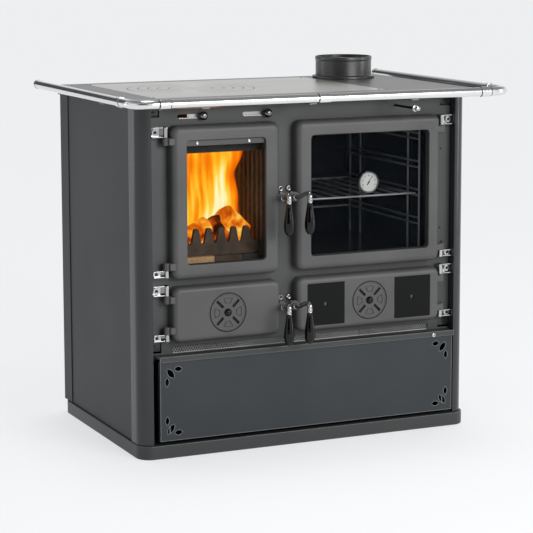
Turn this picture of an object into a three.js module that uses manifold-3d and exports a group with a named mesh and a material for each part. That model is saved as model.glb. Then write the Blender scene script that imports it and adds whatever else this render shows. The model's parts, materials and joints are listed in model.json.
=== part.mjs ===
// A free-standing wood cookstove: firebox and oven side by side behind hinged doors, a wood drawer
// below, a hob with lift-out rings on top and a towel rail round it.
// Millimetres, +X to the right, +Y to the back, +Z up. While the stove is drawn, x = 0 is its middle,
// y = 0 is the plane of the door fronts and z = 0 is the floor. The last lines move y = 0 to the
// middle of its depth.
import * as THREE from 'three';
import { mergeVertices } from 'three/addons/utils/BufferGeometryUtils.js';
import Module from 'manifold-3d';

const wasm = await Module();
wasm.setup();

// Clearances
const fit = 0.3;              // between pieces that touch
const pinPlay = 0.6;          // round a pin or shaft in its bore
const runGap = 1.5;           // beside a piece that slides or turns

// Facade layout, from left to right and from the floor up
const doorMarginLeft = 50;
const leftDoorWidth = 279;
const doorColumnGap = 45;
const rightDoorWidth = 395;
const doorMarginRight = 45;
const plinthHeight = 33;
const drawerGap = 11.5;
const drawerFrontHeight = 192.2;
const lipHeight = 13.5;
const lowerDoorLift = 27;
const lowerDoorHeight = 134.2;
const doorRowGap = 17.3;
const upperDoorHeight = 367;
const doorHeadroom = 54;

// Casing
const caseDepth = 569;
const sheet = 2;
const columnSetback = 8;      // from the plinth front to the columns
const columnRadius = 34;
const columnStrip = 30;       // flat return of a column along the side
const rearStrip = 59;
const panelLap = 12;
const plinthOverhang = 3;
const plinthCorner = 36;
const plinthRim = 25;
const facadeThickness = 4;
const notchWidth = 30;
const notchHeight = 34;
const tabGap = 4;             // slit between a corner tab and the facade

// Doors
const doorThickness = 33.7;
const doorEdgeRadius = 9.5;
const doorCornerRadius = 18;
const doorOverlap = 12;       // over the edge of its opening
const doorWall = 10;          // front wall of a solid door
const fireBorder = { left: 36.5, right: 38.5, bottom: 35.3, top: 35.5 };
const ovenBorder = { left: 37.3, right: 32.8, bottom: 34.8, top: 36.2 };
const windowCorner = 9;
const fireGlassDepth = 11;    // door front to glass
const ovenGlassDepth = 17;
const glassThickness = 4;
const glassLap = 12;
const clipHeight = 13;
const clipThickness = 3;

// Hinges and latches
const hingeOffset = 10.75;    // door edge to hinge axis
const hingeDepth = 17;        // door front to hinge axis
const lugRadius = 9;
const lugHeight = 18;
const upperLugInset = 27.5;   // from the door's top to its upper lug
const lowerLugInset = 23.5;   // from the door's bottom to its lower lug
const shortLugInset = 21;     // on the low doors
const pinRadius = 4;
const pinReach = 10;
const knuckleRadius = 6;
const upperBracketHeight = 25;
const lowerBracketHeight = 17;
const bracketReach = 34;      // from the axis along the facade
const bracketFlange = 3;
const bracketBoltRadius = 8.5;
const bracketBoltReach = 24;
const bossRadius = 12;
const bossOffset = 6;         // door edge to handle shaft
const bossFront = 3;
const bossBack = 16;
const shaftRadius = 5;
const tongueLength = 14;
const tongueWidth = 8;
const collarRadius = 8;
const armRadius = 5.5;
const handleReach = 58.6;     // grip in front of the doors
const handleShift = 11;       // grip towards its own door
const handleRise = 14;
const sleeveRadius = 6.5;
const gripRadius = 13;
const gripLength = 76;
// Grip profile from its foot: share of the radius, share of the length.
const gripProfile = [[0, 0], [0.45, 0.02], [0.85, 0.12], [1, 0.29], [0.9, 0.53], [0.65, 0.79], [0.55, 1], [0, 1]];
const upperHandleDrop = 183.5; // from the door's top to the shaft
const lowerHandleDrop = 66.7;

// Air dials and plates of the low doors
const dialRadius = 48;
const dialThickness = 5;
const dialKnobRadius = 9.5;
const dialSlotLength = 24;
const dialSlotWidth = 7;
const dialSlotRadius = 29;
const insertWidth = 100.5;
const insertHeight = 104;
const insertThickness = 4;
const insertOffset = 120;
const insertHoleRadius = 5;

// Controls above the doors
const leverRise = 20;         // above the doors
const leverSlotWidth = 9;
const leverTravel = 58;
const primaryLeverInset = 89; // from the left edge of the fire door
const secondaryLeverInset = 22; // from its right edge
const leverKnobRadius = 11;
const leverKnobNeck = 8;      // knob's foot in front of the facade
const leverStemRadius = 3;
const bypassInset = 111;      // from the right edge of the oven door
const bypassRise = 25;
const bypassRodRadius = 3;
const bypassBallRadius = 7;
const bypassDiscRadius = 8.5;
const bypassReach = 114;      // from the facade to the middle of the ball

// Ledge, grille and drawer
const lipFront = -12.6;
const ledgeSheet = 3;
const grilleInset = 59;       // from the facade's ends
const grilleHeight = 16;
const grilleSlots = 20;
const drawerFrontY = -5.6;
const drawerSideGap = 11;
const drawerHem = 11;
const drawerWall = 3;
const drawerBoxInset = 24;
const drawerBoxHeight = 140;
const drawerDepth = 470;
const skidSetback = 60;
const skidWidth = 20;

// Inside
const plate = 3;
const chamberInset = 47;      // from the facade's ends
const chamberRearGap = 99;    // to the back of the case
const panMargin = 22;         // ash pan to its chamber
const panHeight = 52;
const panSetback = 75;
const panLength = 360;
const liningThickness = 22;
const fireboxFloor = 12;
const smokeGap = 50;          // from the lining up to the worktop
const ribPitch = 26;
const ribDepth = 5;
const grateMargin = 34;
const grateFront = 70;        // behind the facade
const grateRear = 90;
const grateThickness = 8;
const grateBar = 12;
const grateSlots = 7;
const guardThickness = 10;
const guardY = 56;
const guardBase = 22;
const guardTooth = 44;
const guardTeeth = 5;
const rackInset = 9;
const wireRadius = 2.5;
const uprightOffset = 1.5 * wireRadius; // keeps the uprights out of the shelf's way
const shelfSetback = 80;
const shelfBars = 9;
const thermometerRadius = 28;
const thermometerThickness = 8;
const thermometerInset = 205; // from the left edge of the oven door
const thermometerDrop = 162;  // from its top

// Worktop, hob and rail
const topThickness = 10;
const topSideOverhang = 12;
const topFrontOverhang = 20;
const topBackSetback = 17;
const topSeat = 3;
const seatWidth = 12;
const borderLeft = 67;
const borderFront = 60;
const borderBack = 30;
const deckWidth = 221;
const hobInset = 265;         // from the worktop's left edge
const hobSetback = 317;       // from its front edge
const hobRadii = [160, 134, 109, 85, 57.5];
const ringStep = 4;
const flueInset = 132;        // from the worktop's right edge
const flueForward = 91;       // from its back edge
const flueRadius = 74.5;
const flueWall = 4;
const flueHeight = 58;
const flueFlange = 83;
const flueFlangeThickness = 6;
const railRadius = 11;
const railGap = 37;           // worktop's side to the rail's axis
const railFront = 112;        // in front of the doors
const railTail = 31;          // behind the case
const railDrop = 1;           // axis below the worktop's top
const railBend = 52;
const railLeg = 56;           // corner to the joint with the front bar
const railSideLeg = 90;       // corner to the joint with the side bar
const railCollar = 1.5;
const stayWidth = 20;
const stayThickness = 5;
const frontStays = [-318, -45, 228];
const sideStays = [120, 430];

// Round detail
const sides = { small: 8, medium: 12, dial: 24, ring: 28 };
const elbowSteps = 12;
const armSteps = 8;

// Places that follow from the sizes
const facadeHalf = (doorMarginLeft + leftDoorWidth + doorColumnGap + rightDoorWidth + doorMarginRight) / 2;
const bodyHalf = facadeHalf + columnRadius;
const leftDoorX0 = -facadeHalf + doorMarginLeft;
const leftDoorX1 = leftDoorX0 + leftDoorWidth;
const rightDoorX0 = leftDoorX1 + doorColumnGap;
const rightDoorX1 = rightDoorX0 + rightDoorWidth;
const facadeY = doorThickness + fit;
const facadeBack = facadeY + facadeThickness;
const linerFront = facadeBack + fit;
const ledgeZ = plinthHeight + drawerGap + drawerFrontHeight + fit;
const lipTop = ledgeZ + lipHeight;
const lowerDoorZ0 = lipTop + lowerDoorLift;
const lowerDoorZ1 = lowerDoorZ0 + lowerDoorHeight;
const upperDoorZ0 = lowerDoorZ1 + doorRowGap;
const upperDoorZ1 = upperDoorZ0 + upperDoorHeight;
const caseTop = upperDoorZ1 + doorHeadroom;
const caseFoot = plinthHeight + fit;
const caseHead = caseTop - fit;
const topZ = caseTop + topThickness;
const chamberFloor = lowerDoorZ0 + doorOverlap;
const deckZ = upperDoorZ0 + doorOverlap + plate;
const linerFoot = deckZ + fit;
const openingMid = (leftDoorX1 + rightDoorX0) / 2;
const leverZ = upperDoorZ1 + leverRise;
const primaryLeverX = leftDoorX0 + primaryLeverInset;
const secondaryLeverX = leftDoorX1 - secondaryLeverInset;
const bypassX = rightDoorX1 - bypassInset;
const bypassZ = upperDoorZ1 + bypassRise;
const grilleHalf = facadeHalf - grilleInset;
const chamberHalf = facadeHalf - chamberInset;
const chamberBack = caseDepth - chamberRearGap;
const fireboxTop = caseTop - smokeGap;
const thermometerX = rightDoorX0 + thermometerInset;
const thermometerZ = upperDoorZ1 - thermometerDrop;
const topX = bodyHalf + topSideOverhang;
const topY0 = -topFrontOverhang;
const topY1 = caseDepth - topBackSetback;
const hobX = -topX + hobInset;
const hobY = topY0 + hobSetback;
const flueX = topX - flueInset;
const flueY = topY1 - flueForward;
const railHalf = topX + railGap;
const railBack = caseDepth + railTail;

const doors = {
  fire: { x0: leftDoorX0, x1: leftDoorX1, z0: upperDoorZ0, z1: upperDoorZ1, side: -1 },
  oven: { x0: rightDoorX0, x1: rightDoorX1, z0: upperDoorZ0, z1: upperDoorZ1, side: 1 },
  ash: { x0: leftDoorX0, x1: leftDoorX1, z0: lowerDoorZ0, z1: lowerDoorZ1, side: -1 },
  soot: { x0: rightDoorX0, x1: rightDoorX1, z0: lowerDoorZ0, z1: lowerDoorZ1, side: 1 },
};

// Finishes
const finish = (color, roughness, metalness) => ({ color, roughness, metalness });
const casingPaint = finish('#43474a', 0.5, 0.35);
const facadePaint = finish('#4a4b4b', 0.55, 0.3);
const castDoor = finish('#5d5d5c', 0.6, 0.3);
const castBlack = finish('#2b2b2b', 0.7, 0.3);
const steelTop = finish('#c4c2c0', 0.35, 0.9);
const chrome = finish('#dcdcdc', 0.12, 1);
const blackGloss = finish('#0d0d0d', 0.15, 0);
const darkGlass = finish('#10151c', 0.05, 0);
const enamel = finish('#1c1f22', 0.35, 0.1);
const fireclay = finish('#5c4a3c', 0.9, 0);
const whiteDial = finish('#f0f0ee', 0.4, 0);

const stove = new THREE.Group();

// Adds a solid to the stove as one named piece.
function piece(name, solid, look) {
  const { vertProperties, triVerts } = solid.getMesh();
  const geometry = new THREE.BufferGeometry();
  geometry.setAttribute('position', new THREE.BufferAttribute(Float32Array.from(vertProperties), 3));
  geometry.setIndex(new THREE.BufferAttribute(Uint32Array.from(triVerts), 1));
  geometry.computeVertexNormals();
  const mesh = new THREE.Mesh(geometry, new THREE.MeshStandardMaterial(look));
  mesh.name = name;
  stove.add(mesh);
}

// A closed geometry as a solid that can be joined and cut.
function toSolid(geometry) {
  geometry.deleteAttribute('normal');
  geometry.deleteAttribute('uv');
  const merged = mergeVertices(geometry);
  const index = merged.index.array;
  const triVerts = [];
  for (let i = 0; i < index.length; i += 3) {
    const [a, b, c] = index.slice(i, i + 3);
    if (a !== b && b !== c && c !== a) {
      triVerts.push(a, b, c);
    }
  }
  const vertProperties = Float32Array.from(merged.attributes.position.array);
  return new wasm.Manifold(new wasm.Mesh({ numProp: 3, vertProperties, triVerts: Uint32Array.from(triVerts) }));
}

function join(...solids) {
  return solids.reduce((whole, part) => whole.add(part));
}

function cut(solid, ...tools) {
  return tools.reduce((rest, tool) => rest.subtract(tool), solid);
}

function box(x0, x1, y0, y1, z0, z1) {
  const geometry = new THREE.BoxGeometry(x1 - x0, y1 - y0, z1 - z0);
  geometry.translate((x0 + x1) / 2, (y0 + y1) / 2, (z0 + z1) / 2);
  return toSolid(geometry);
}

function rodX(y, z, radius, x0, x1, count = sides.medium) {
  const geometry = new THREE.CylinderGeometry(radius, radius, x1 - x0, count);
  geometry.rotateZ(-Math.PI / 2);
  geometry.translate((x0 + x1) / 2, y, z);
  return toSolid(geometry);
}

function rodY(x, z, radius, y0, y1, count = sides.medium) {
  const geometry = new THREE.CylinderGeometry(radius, radius, y1 - y0, count);
  geometry.translate(x, (y0 + y1) / 2, z);
  return toSolid(geometry);
}

function rodZ(x, y, radius, z0, z1, count = sides.medium) {
  const geometry = new THREE.CylinderGeometry(radius, radius, z1 - z0, count);
  geometry.rotateX(Math.PI / 2);
  geometry.translate(x, y, (z0 + z1) / 2);
  return toSolid(geometry);
}

// A closed outline turned about an axis through (x, z) along Y, with [radius, y] points.
function turnedY(points, x, z, count = sides.medium) {
  const geometry = new THREE.LatheGeometry(points.map(([r, y]) => new THREE.Vector2(r, y)), count);
  geometry.translate(x, 0, z);
  return toSolid(geometry);
}

// A closed outline turned about an axis through (x, y) along Z, with [radius, z] points.
function turnedZ(points, x, y, count = sides.medium) {
  const geometry = new THREE.LatheGeometry(points.map(([r, z]) => new THREE.Vector2(r, z)), count);
  geometry.rotateX(Math.PI / 2);
  geometry.translate(x, y, 0);
  return toSolid(geometry);
}

function roundedRectangle(x0, x1, y0, y1, radius) {
  const shape = new THREE.Shape();
  shape.moveTo(x0 + radius, y0);
  shape.absarc(x1 - radius, y0 + radius, radius, -Math.PI / 2, 0);
  shape.absarc(x1 - radius, y1 - radius, radius, 0, Math.PI / 2);
  shape.absarc(x0 + radius, y1 - radius, radius, Math.PI / 2, Math.PI);
  shape.absarc(x0 + radius, y0 + radius, radius, Math.PI, 1.5 * Math.PI);
  return shape;
}

// An outline drawn in x and z, thickened from y0 back to y1.
function slabY(shape, y0, y1, curveSegments = 3) {
  const geometry = new THREE.ExtrudeGeometry(shape, { depth: y1 - y0, bevelEnabled: false, curveSegments });
  geometry.rotateX(Math.PI / 2);
  geometry.translate(0, y1, 0);
  return toSolid(geometry);
}

// An outline drawn in x and y, thickened from z0 up to z1.
function slabZ(shape, z0, z1, curveSegments = 3) {
  const geometry = new THREE.ExtrudeGeometry(shape, { depth: z1 - z0, bevelEnabled: false, curveSegments });
  geometry.translate(0, 0, z0);
  return toSolid(geometry);
}

// A round bar along a curve.
function bar(curve, radius, steps, count = sides.small) {
  const section = new THREE.Shape();
  section.absarc(0, 0, radius, 0, 2 * Math.PI);
  const options = { steps, extrudePath: curve, curveSegments: count, bevelEnabled: false };
  return toSolid(new THREE.ExtrudeGeometry(section, options));
}

// Moves a shape's x to the stove's left or right side.
function spanX(side, near, far) {
  return side < 0 ? [-far, -near] : [near, far];
}

// Casing ------------------------------------------------------------------------------------

function plinth() {
  const half = bodyHalf + plinthOverhang;
  const outer = roundedRectangle(-half, half, 0, caseDepth, plinthCorner);
  const pocketHalf = half - plinthRim;
  const pocket = box(-pocketHalf, pocketHalf, plinthRim, caseDepth - plinthRim, -fit, plinthHeight - plate);
  return cut(slabZ(outer, 0, plinthHeight, 5), pocket);
}

// A column is one folded sheet: inner return, round front corner and a flat strip along the side.
function column(side) {
  const outline = new THREE.Shape();
  const centreX = side * facadeHalf;
  const centreY = columnSetback + columnRadius;
  const start = -Math.PI / 2;
  const end = side < 0 ? -Math.PI : 0;
  const clockwise = side < 0;
  const stripEnd = centreY + columnStrip;
  const innerX = side * (bodyHalf - sheet);
  const innerStart = start + side * Math.asin(sheet / (columnRadius - sheet));
  outline.moveTo(centreX, facadeBack + sheet + fit);
  outline.lineTo(centreX, columnSetback);
  outline.absarc(centreX, centreY, columnRadius, start, end, clockwise);
  outline.lineTo(side * bodyHalf, stripEnd);
  outline.lineTo(innerX, stripEnd);
  outline.lineTo(innerX, centreY);
  outline.absarc(centreX, centreY, columnRadius - sheet, end, innerStart, !clockwise);
  outline.lineTo(centreX + side * sheet, facadeBack + sheet + fit);
  const shell = slabZ(outline, caseFoot, caseHead, 6);
  return join(shell, ...[caseHead - notchHeight, lipTop].map((z) => cornerTab(side, z)));
}

// A tab of the column behind a corner notch of the facade.
function cornerTab(side, z) {
  const [x0, x1] = spanX(side, facadeHalf - notchWidth - tabGap, facadeHalf + sheet / 2);
  const front = facadeBack + fit;
  return box(x0, x1, front, front + sheet, z + tabGap, z + notchHeight - tabGap);
}

function sidePanel(side) {
  const [x0, x1] = spanX(side, bodyHalf - 2 * sheet - fit, bodyHalf - sheet - fit);
  const front = columnSetback + columnRadius + columnStrip - panelLap;
  const back = caseDepth - rearStrip + panelLap;
  return box(x0, x1, front, back, caseFoot, caseHead);
}

function rearCasing() {
  const outer = box(-bodyHalf, bodyHalf, caseDepth - rearStrip, caseDepth, caseFoot, caseHead);
  const hollow = box(-bodyHalf + sheet, bodyHalf - sheet, 0, caseDepth - sheet, 0, caseHead - sheet);
  const opening = box(-bodyHalf + sheet, bodyHalf - sheet, 0, caseDepth - topBackSetback - seatWidth, 0, topZ);
  return cut(outer, hollow, opening);
}

function doorOpening({ x0, x1, z0, z1 }) {
  const lap = doorOverlap;
  return box(x0 + lap, x1 - lap, 0, chamberBack, z0 + lap, z1 - lap);
}

function leverSlot(x) {
  const half = leverSlotWidth / 2;
  const x0 = x - leverTravel - leverStemRadius - runGap;
  const shape = roundedRectangle(x0, x + leverStemRadius + runGap, leverZ - half, leverZ + half, half);
  return slabY(shape, facadeY - fit, facadeBack + fit, 2);
}

function facade() {
  const half = facadeHalf - fit;
  const front = facadeY;
  const sheetPlate = box(-half, half, front, facadeBack, ledgeZ + fit, caseHead);
  const notches = [-1, 1].flatMap((side) => {
    const [x0, x1] = spanX(side, facadeHalf - notchWidth, facadeHalf + fit);
    const ends = [[lipTop, lipTop + notchHeight], [caseHead - notchHeight, topZ]];
    return ends.map(([z0, z1]) => box(x0, x1, 0, chamberBack, z0, z1));
  });
  const grille = box(-grilleHalf, grilleHalf, 0, chamberBack, lipTop - ledgeSheet, lipTop - ledgeSheet + grilleHeight);
  const rodHole = rodY(bypassX, bypassZ, bypassRodRadius + pinPlay, 0, chamberBack, sides.small);
  const slots = [leverSlot(primaryLeverX), leverSlot(secondaryLeverX)];
  return cut(sheetPlate, ...Object.values(doors).map(doorOpening), ...notches, grille, rodHole, ...slots);
}

// A thin slotted strip behind the long air opening under the doors.
function ventGrille() {
  const z0 = lipTop - ledgeSheet;
  const strip = box(-grilleHalf - seatWidth, grilleHalf + seatWidth, linerFront, linerFront + 1, z0 - fit, z0 + grilleHeight + fit);
  const pitch = (2 * grilleHalf) / grilleSlots;
  const slots = Array.from({ length: grilleSlots }, (_, i) => {
    const x = -grilleHalf + (i + 0.5) * pitch;
    return box(x - pitch * 0.36, x + pitch * 0.36, 0, chamberBack, z0 + 3, z0 + grilleHeight - 3);
  });
  return cut(strip, ...slots);
}

function frontLedge() {
  const half = facadeHalf - 8.5;
  const top = lipTop - ledgeSheet;
  const shelf = box(-half, half, lipFront, facadeY - fit, top - ledgeSheet, top);
  const lip = box(-half, half, lipFront, lipFront + ledgeSheet, ledgeZ, lipTop);
  const foot = box(-half, half, facadeY - fit - ledgeSheet, facadeY - fit, ledgeZ, top);
  return join(shelf, lip, foot);
}

// Worktop and hob ---------------------------------------------------------------------------

const hobPlate = { x0: -topX + borderLeft, x1: topX - deckWidth, y0: topY0 + borderFront, y1: topY1 - borderBack };

function worktopFrame() {
  const { x0, x1, y0, y1 } = hobPlate;
  const outer = slabZ(roundedRectangle(-topX, topX, topY0, topY1, 3), caseTop, topZ);
  const recess = box(x0, x1, y0, y1, caseTop + topSeat, topZ + fit);
  const well = box(x0 + seatWidth, x1 - seatWidth, y0 + seatWidth, y1 - seatWidth, caseTop - fit, topZ);
  const flueHole = rodZ(flueX, flueY, flueRadius - flueWall, caseTop - fit, topZ + fit, sides.ring);
  return cut(outer, recess, well, flueHole);
}

// The heights of a stepped hob edge: underside, step and top.
const hobFoot = caseTop + topSeat + fit;
const hobStep = (hobFoot + topZ) / 2;

// The stepped hole that the next piece inwards drops into.
function steppedHole(radius) {
  const upper = rodZ(hobX, hobY, radius, hobStep, topZ + fit, sides.ring);
  const lower = rodZ(hobX, hobY, radius - ringStep, caseTop, topZ, sides.ring);
  return join(upper, lower);
}

function steppedDisc(radius) {
  const outer = radius - fit;
  const foot = radius - ringStep - fit;
  const points = [[0, hobFoot], [foot, hobFoot], [foot, hobStep + fit], [outer, hobStep + fit], [outer, topZ], [0, topZ]];
  return turnedZ(points, hobX, hobY, sides.ring);
}

function hobPlateSolid() {
  const { x0, x1, y0, y1 } = hobPlate;
  const slab = box(x0 + fit, x1 - fit, y0 + fit, y1 - fit, hobFoot, topZ);
  return cut(slab, steppedHole(hobRadii[0]));
}

function flueCollar() {
  const bore = flueRadius - flueWall;
  const foot = topZ + fit;
  const rim = topZ + flueHeight;
  const flange = foot + flueFlangeThickness;
  const points = [
    [bore, foot], [flueFlange, foot], [flueFlange, flange], [flueRadius, flange],
    [flueRadius, rim - 6], [flueRadius + 1.2, rim - 3], [flueRadius, rim], [bore, rim], [bore, foot],
  ];
  return turnedZ(points, flueX, flueY, sides.ring);
}

// Towel rail: a front bar, and a side bar on each side with its corner elbow.
const railZ = topZ - railDrop;
const stayTop = caseTop - fit;

function railFrontBar() {
  const end = railHalf - railLeg - fit;
  const tube = rodX(-railFront, railZ, railRadius, -end, end);
  const collar = (x0, x1) => rodX(-railFront, railZ, railRadius + railCollar, x0, x1);
  const stays = frontStays.map((x) => {
    const half = stayWidth / 2;
    return box(x - half, x + half, -railFront, topY0 + 2 * seatWidth, stayTop - stayThickness, stayTop);
  });
  return join(tube, collar(-end, -end + 10), collar(end - 10, end), collar(-32, -3), ...stays);
}

function railSideBar(side) {
  const x = side * railHalf;
  const y = -railFront;
  const path = new THREE.CurvePath();
  const at = (px, py) => new THREE.Vector3(px, py, railZ);
  const bendStart = at(x - side * railBend, y);
  const bendEnd = at(x, y + railBend);
  path.add(new THREE.LineCurve3(at(x - side * railLeg, y), bendStart));
  path.add(new THREE.QuadraticBezierCurve3(bendStart, at(x, y), bendEnd));
  path.add(new THREE.LineCurve3(bendEnd, at(x, y + railSideLeg)));
  const elbow = bar(path, railRadius, elbowSteps, sides.medium / 2);
  const tube = rodY(x, railZ, railRadius, y + railSideLeg - 1, railBack - 9);
  const collar = (y0, y1, extra) => rodY(x, railZ, railRadius + extra, y0, y1);
  const joint = collar(y + railSideLeg - 1, y + railSideLeg + 12, railCollar);
  const cap = join(collar(railBack - 9, railBack - 7, -1), collar(railBack - 7, railBack, railCollar / 2));
  const stays = sideStays.map((stayY) => {
    const half = stayWidth / 2;
    const [x0, x1] = spanX(side, bodyHalf + fit, railHalf);
    return box(x0, x1, stayY - half, stayY + half, stayTop - stayThickness, stayTop);
  });
  return join(elbow, tube, joint, cap, ...stays);
}

// Firebox, ash chamber and oven -------------------------------------------------------------

const firePlan = { x0: -chamberHalf + 8, x1: leftDoorX1 - 6 };
const fireInner = { x0: firePlan.x0 + liningThickness, x1: firePlan.x1 - liningThickness - 4 };
const ovenInner = { x0: rightDoorX0 + doorOverlap + 6, x1: rightDoorX1 - doorOverlap - 6 };
const ovenInnerZ = { z0: linerFoot + plate, z1: upperDoorZ1 - doorOverlap - 5 };
const grateHole = {
  x0: fireInner.x0 + grateMargin, x1: fireInner.x1 - grateMargin, y0: linerFront + grateFront, y1: chamberBack - grateRear,
};

// One steel case under the firebox and the oven, with a room behind each low door.
function lowerChamber() {
  const outer = box(-chamberHalf, chamberHalf, linerFront, chamberBack, chamberFloor - plate, deckZ);
  const room = (x0, x1) => box(x0, x1, 0, chamberBack - plate, chamberFloor, deckZ - plate);
  const left = room(-chamberHalf + plate, openingMid - plate / 2);
  const right = room(openingMid + plate / 2, chamberHalf - plate);
  const { x0, x1, y0, y1 } = grateHole;
  return cut(outer, left, right, box(x0, x1, y0, y1, chamberFloor, deckZ + fit));
}

// Ribbed cast lining on three sides and a floor that holds the grate.
function firebox() {
  const outer = box(firePlan.x0, firePlan.x1, linerFront, chamberBack, linerFoot, fireboxTop);
  const floor = linerFoot + fireboxFloor;
  const innerBack = chamberBack - liningThickness;
  const hollow = box(fireInner.x0, fireInner.x1, 0, innerBack, floor, topZ);
  const { x0, x1, y0, y1 } = grateHole;
  const ashHole = box(x0, x1, y0, y1, 0, topZ);
  const rim = seatWidth / 2;
  const seat = box(x0 - rim, x1 + rim, y0 - rim, y1 + rim, floor - grateThickness, topZ);
  const ribCount = Math.floor((innerBack - linerFront) / ribPitch);
  const grooves = Array.from({ length: ribCount }, (_, i) => {
    const y = linerFront + (i + 0.5) * ribPitch;
    return box(fireInner.x0 - ribDepth, fireInner.x1 + ribDepth, y, y + ribPitch / 2, floor + ribPitch, topZ);
  });
  return cut(outer, hollow, ashHole, seat, ...grooves);
}

function fireGrate() {
  const rim = seatWidth / 2 - fit;
  const top = linerFoot + fireboxFloor;
  const { x0, x1, y0, y1 } = grateHole;
  const slab = box(x0 - rim, x1 + rim, y0 - rim, y1 + rim, top - grateThickness + fit, top);
  const pitch = (x1 - x0) / grateSlots;
  const slots = Array.from({ length: grateSlots }, (_, i) => {
    const left = x0 + i * pitch + grateBar / 2;
    return box(left, left + pitch - grateBar, y0 + grateBar, y1 - grateBar, 0, topZ);
  });
  return cut(slab, ...slots);
}

// The toothed bar that keeps logs off the door glass.
function logGuard() {
  const x0 = fireInner.x0 + fit;
  const x1 = fireInner.x1 - fit;
  const foot = linerFoot + fireboxFloor + fit;
  const pitch = (x1 - x0) / guardTeeth;
  const outline = new THREE.Shape();
  outline.moveTo(x0, foot);
  outline.lineTo(x1, foot);
  for (let i = guardTeeth - 1; i >= 0; i -= 1) {
    const left = x0 + i * pitch;
    outline.lineTo(left + pitch * 0.88, foot + guardBase);
    outline.lineTo(left + pitch * 0.74, foot + guardBase + guardTooth);
    outline.absarc(left + pitch * 0.5, foot + guardBase + guardTooth, pitch * 0.24, 0, Math.PI);
    outline.lineTo(left + pitch * 0.12, foot + guardBase);
  }
  outline.lineTo(x0, foot + guardBase);
  return slabY(outline, guardY, guardY + guardThickness, 3);
}

function ashPan() {
  const x0 = grateHole.x0 - panMargin / 2;
  const x1 = grateHole.x1 + panMargin / 2;
  const z0 = chamberFloor + fit;
  const y1 = panSetback + panLength;
  const outer = box(x0, x1, panSetback, y1, z0, z0 + panHeight);
  const hollow = box(x0 + sheet, x1 - sheet, panSetback + sheet, y1 - sheet, z0 + sheet, topZ);
  const mid = (x0 + x1) / 2;
  const lip = box(mid - panHeight / 2, mid + panHeight / 2, panSetback - panMargin / 2, panSetback, z0 + panHeight - 8, z0 + panHeight);
  return join(cut(outer, hollow), lip);
}

function ovenLiner() {
  const { x0, x1 } = ovenInner;
  const { z0, z1 } = ovenInnerZ;
  const shell = box(x0 - plate, x1 + plate, linerFront, chamberBack, z0 - plate, z1 + plate);
  const cavity = box(x0, x1, 0, chamberBack - plate, z0, z1);
  return cut(shell, cavity);
}

const rackX = { left: ovenInner.x0 + rackInset, right: ovenInner.x1 - rackInset };
const rackY = { front: linerFront + 30, back: chamberBack - plate - 14 };
const rackLevels = [0.18, 0.42, 0.66, 0.9].map((t) => ovenInnerZ.z0 + t * (ovenInnerZ.z1 - ovenInnerZ.z0));

// Two wire ladders along the oven's side walls, tied by two wires at the back.
function ovenRack() {
  const foot = ovenInnerZ.z0 + fit;
  const head = rackLevels[3] + 2 * wireRadius;
  const wires = [];
  for (const [x, outward] of [[rackX.left, -1], [rackX.right, 1]]) {
    for (const y of Object.values(rackY)) {
      wires.push(rodZ(x + outward * uprightOffset, y, wireRadius, foot, head, sides.small));
    }
    for (const z of rackLevels) {
      wires.push(rodY(x, z, wireRadius, rackY.front, rackY.back, sides.small));
    }
  }
  for (const z of [rackLevels[0], rackLevels[3]]) {
    wires.push(rodX(rackY.back, z, wireRadius, rackX.left, rackX.right, sides.small));
  }
  return join(...wires);
}

// A wire shelf lying on the second level of the ladders.
function ovenShelf() {
  const z = rackLevels[1] + 2 * wireRadius + fit;
  const inset = 2 * wireRadius + runGap;
  const x0 = rackX.left;
  const x1 = rackX.right;
  const y1 = rackY.back - inset;
  const bars = [rodX(shelfSetback, z, wireRadius, x0, x1, sides.small), rodX(y1, z, wireRadius, x0, x1, sides.small)];
  const side = inset + wireRadius;
  const pitch = (x1 - x0 - 2 * side) / (shelfBars - 1);
  for (let i = 0; i < shelfBars; i += 1) {
    bars.push(rodY(x0 + side + i * pitch, z, wireRadius, shelfSetback, y1, sides.small));
  }
  return join(...bars);
}

// Doors -------------------------------------------------------------------------------------

const hingeX = (door) => (door.side < 0 ? door.x0 - hingeOffset : door.x1 + hingeOffset);
const shaftX = (door) => (door.side < 0 ? door.x1 + bossOffset : door.x0 - bossOffset);
const isLow = (door) => door.z0 === lowerDoorZ0;
const shaftZ = (door) => door.z1 - (isLow(door) ? lowerHandleDrop : upperHandleDrop);
const upperLugZ = (door) => door.z1 - (isLow(door) ? shortLugInset : upperLugInset) - lugHeight;
const lowerLugZ = (door) => door.z0 + (isLow(door) ? shortLugInset : lowerLugInset);

// A door slab with a rounded front edge.
function doorBlank({ x0, x1, z0, z1 }) {
  const geometry = new THREE.ExtrudeGeometry(roundedRectangle(x0, x1, z0, z1, doorCornerRadius), {
    depth: doorThickness,
    bevelThickness: doorEdgeRadius,
    bevelSize: doorEdgeRadius,
    bevelOffset: -doorEdgeRadius,
    bevelSegments: 2,
    curveSegments: 3,
  });
  geometry.rotateX(Math.PI / 2);
  geometry.translate(0, doorThickness + doorEdgeRadius, 0);
  return cut(toSolid(geometry), box(x0 - fit, x1 + fit, doorThickness, 3 * doorThickness, z0 - fit, z1 + fit));
}

function hingeLug(door, z) {
  const x = hingeX(door);
  const inward = x - door.side * (hingeOffset + doorEdgeRadius / 2);
  const block = box(Math.min(x, inward), Math.max(x, inward), hingeDepth - lugRadius, hingeDepth + lugRadius, z, z + lugHeight);
  return join(block, rodZ(x, hingeDepth, lugRadius, z, z + lugHeight, sides.medium));
}

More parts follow.
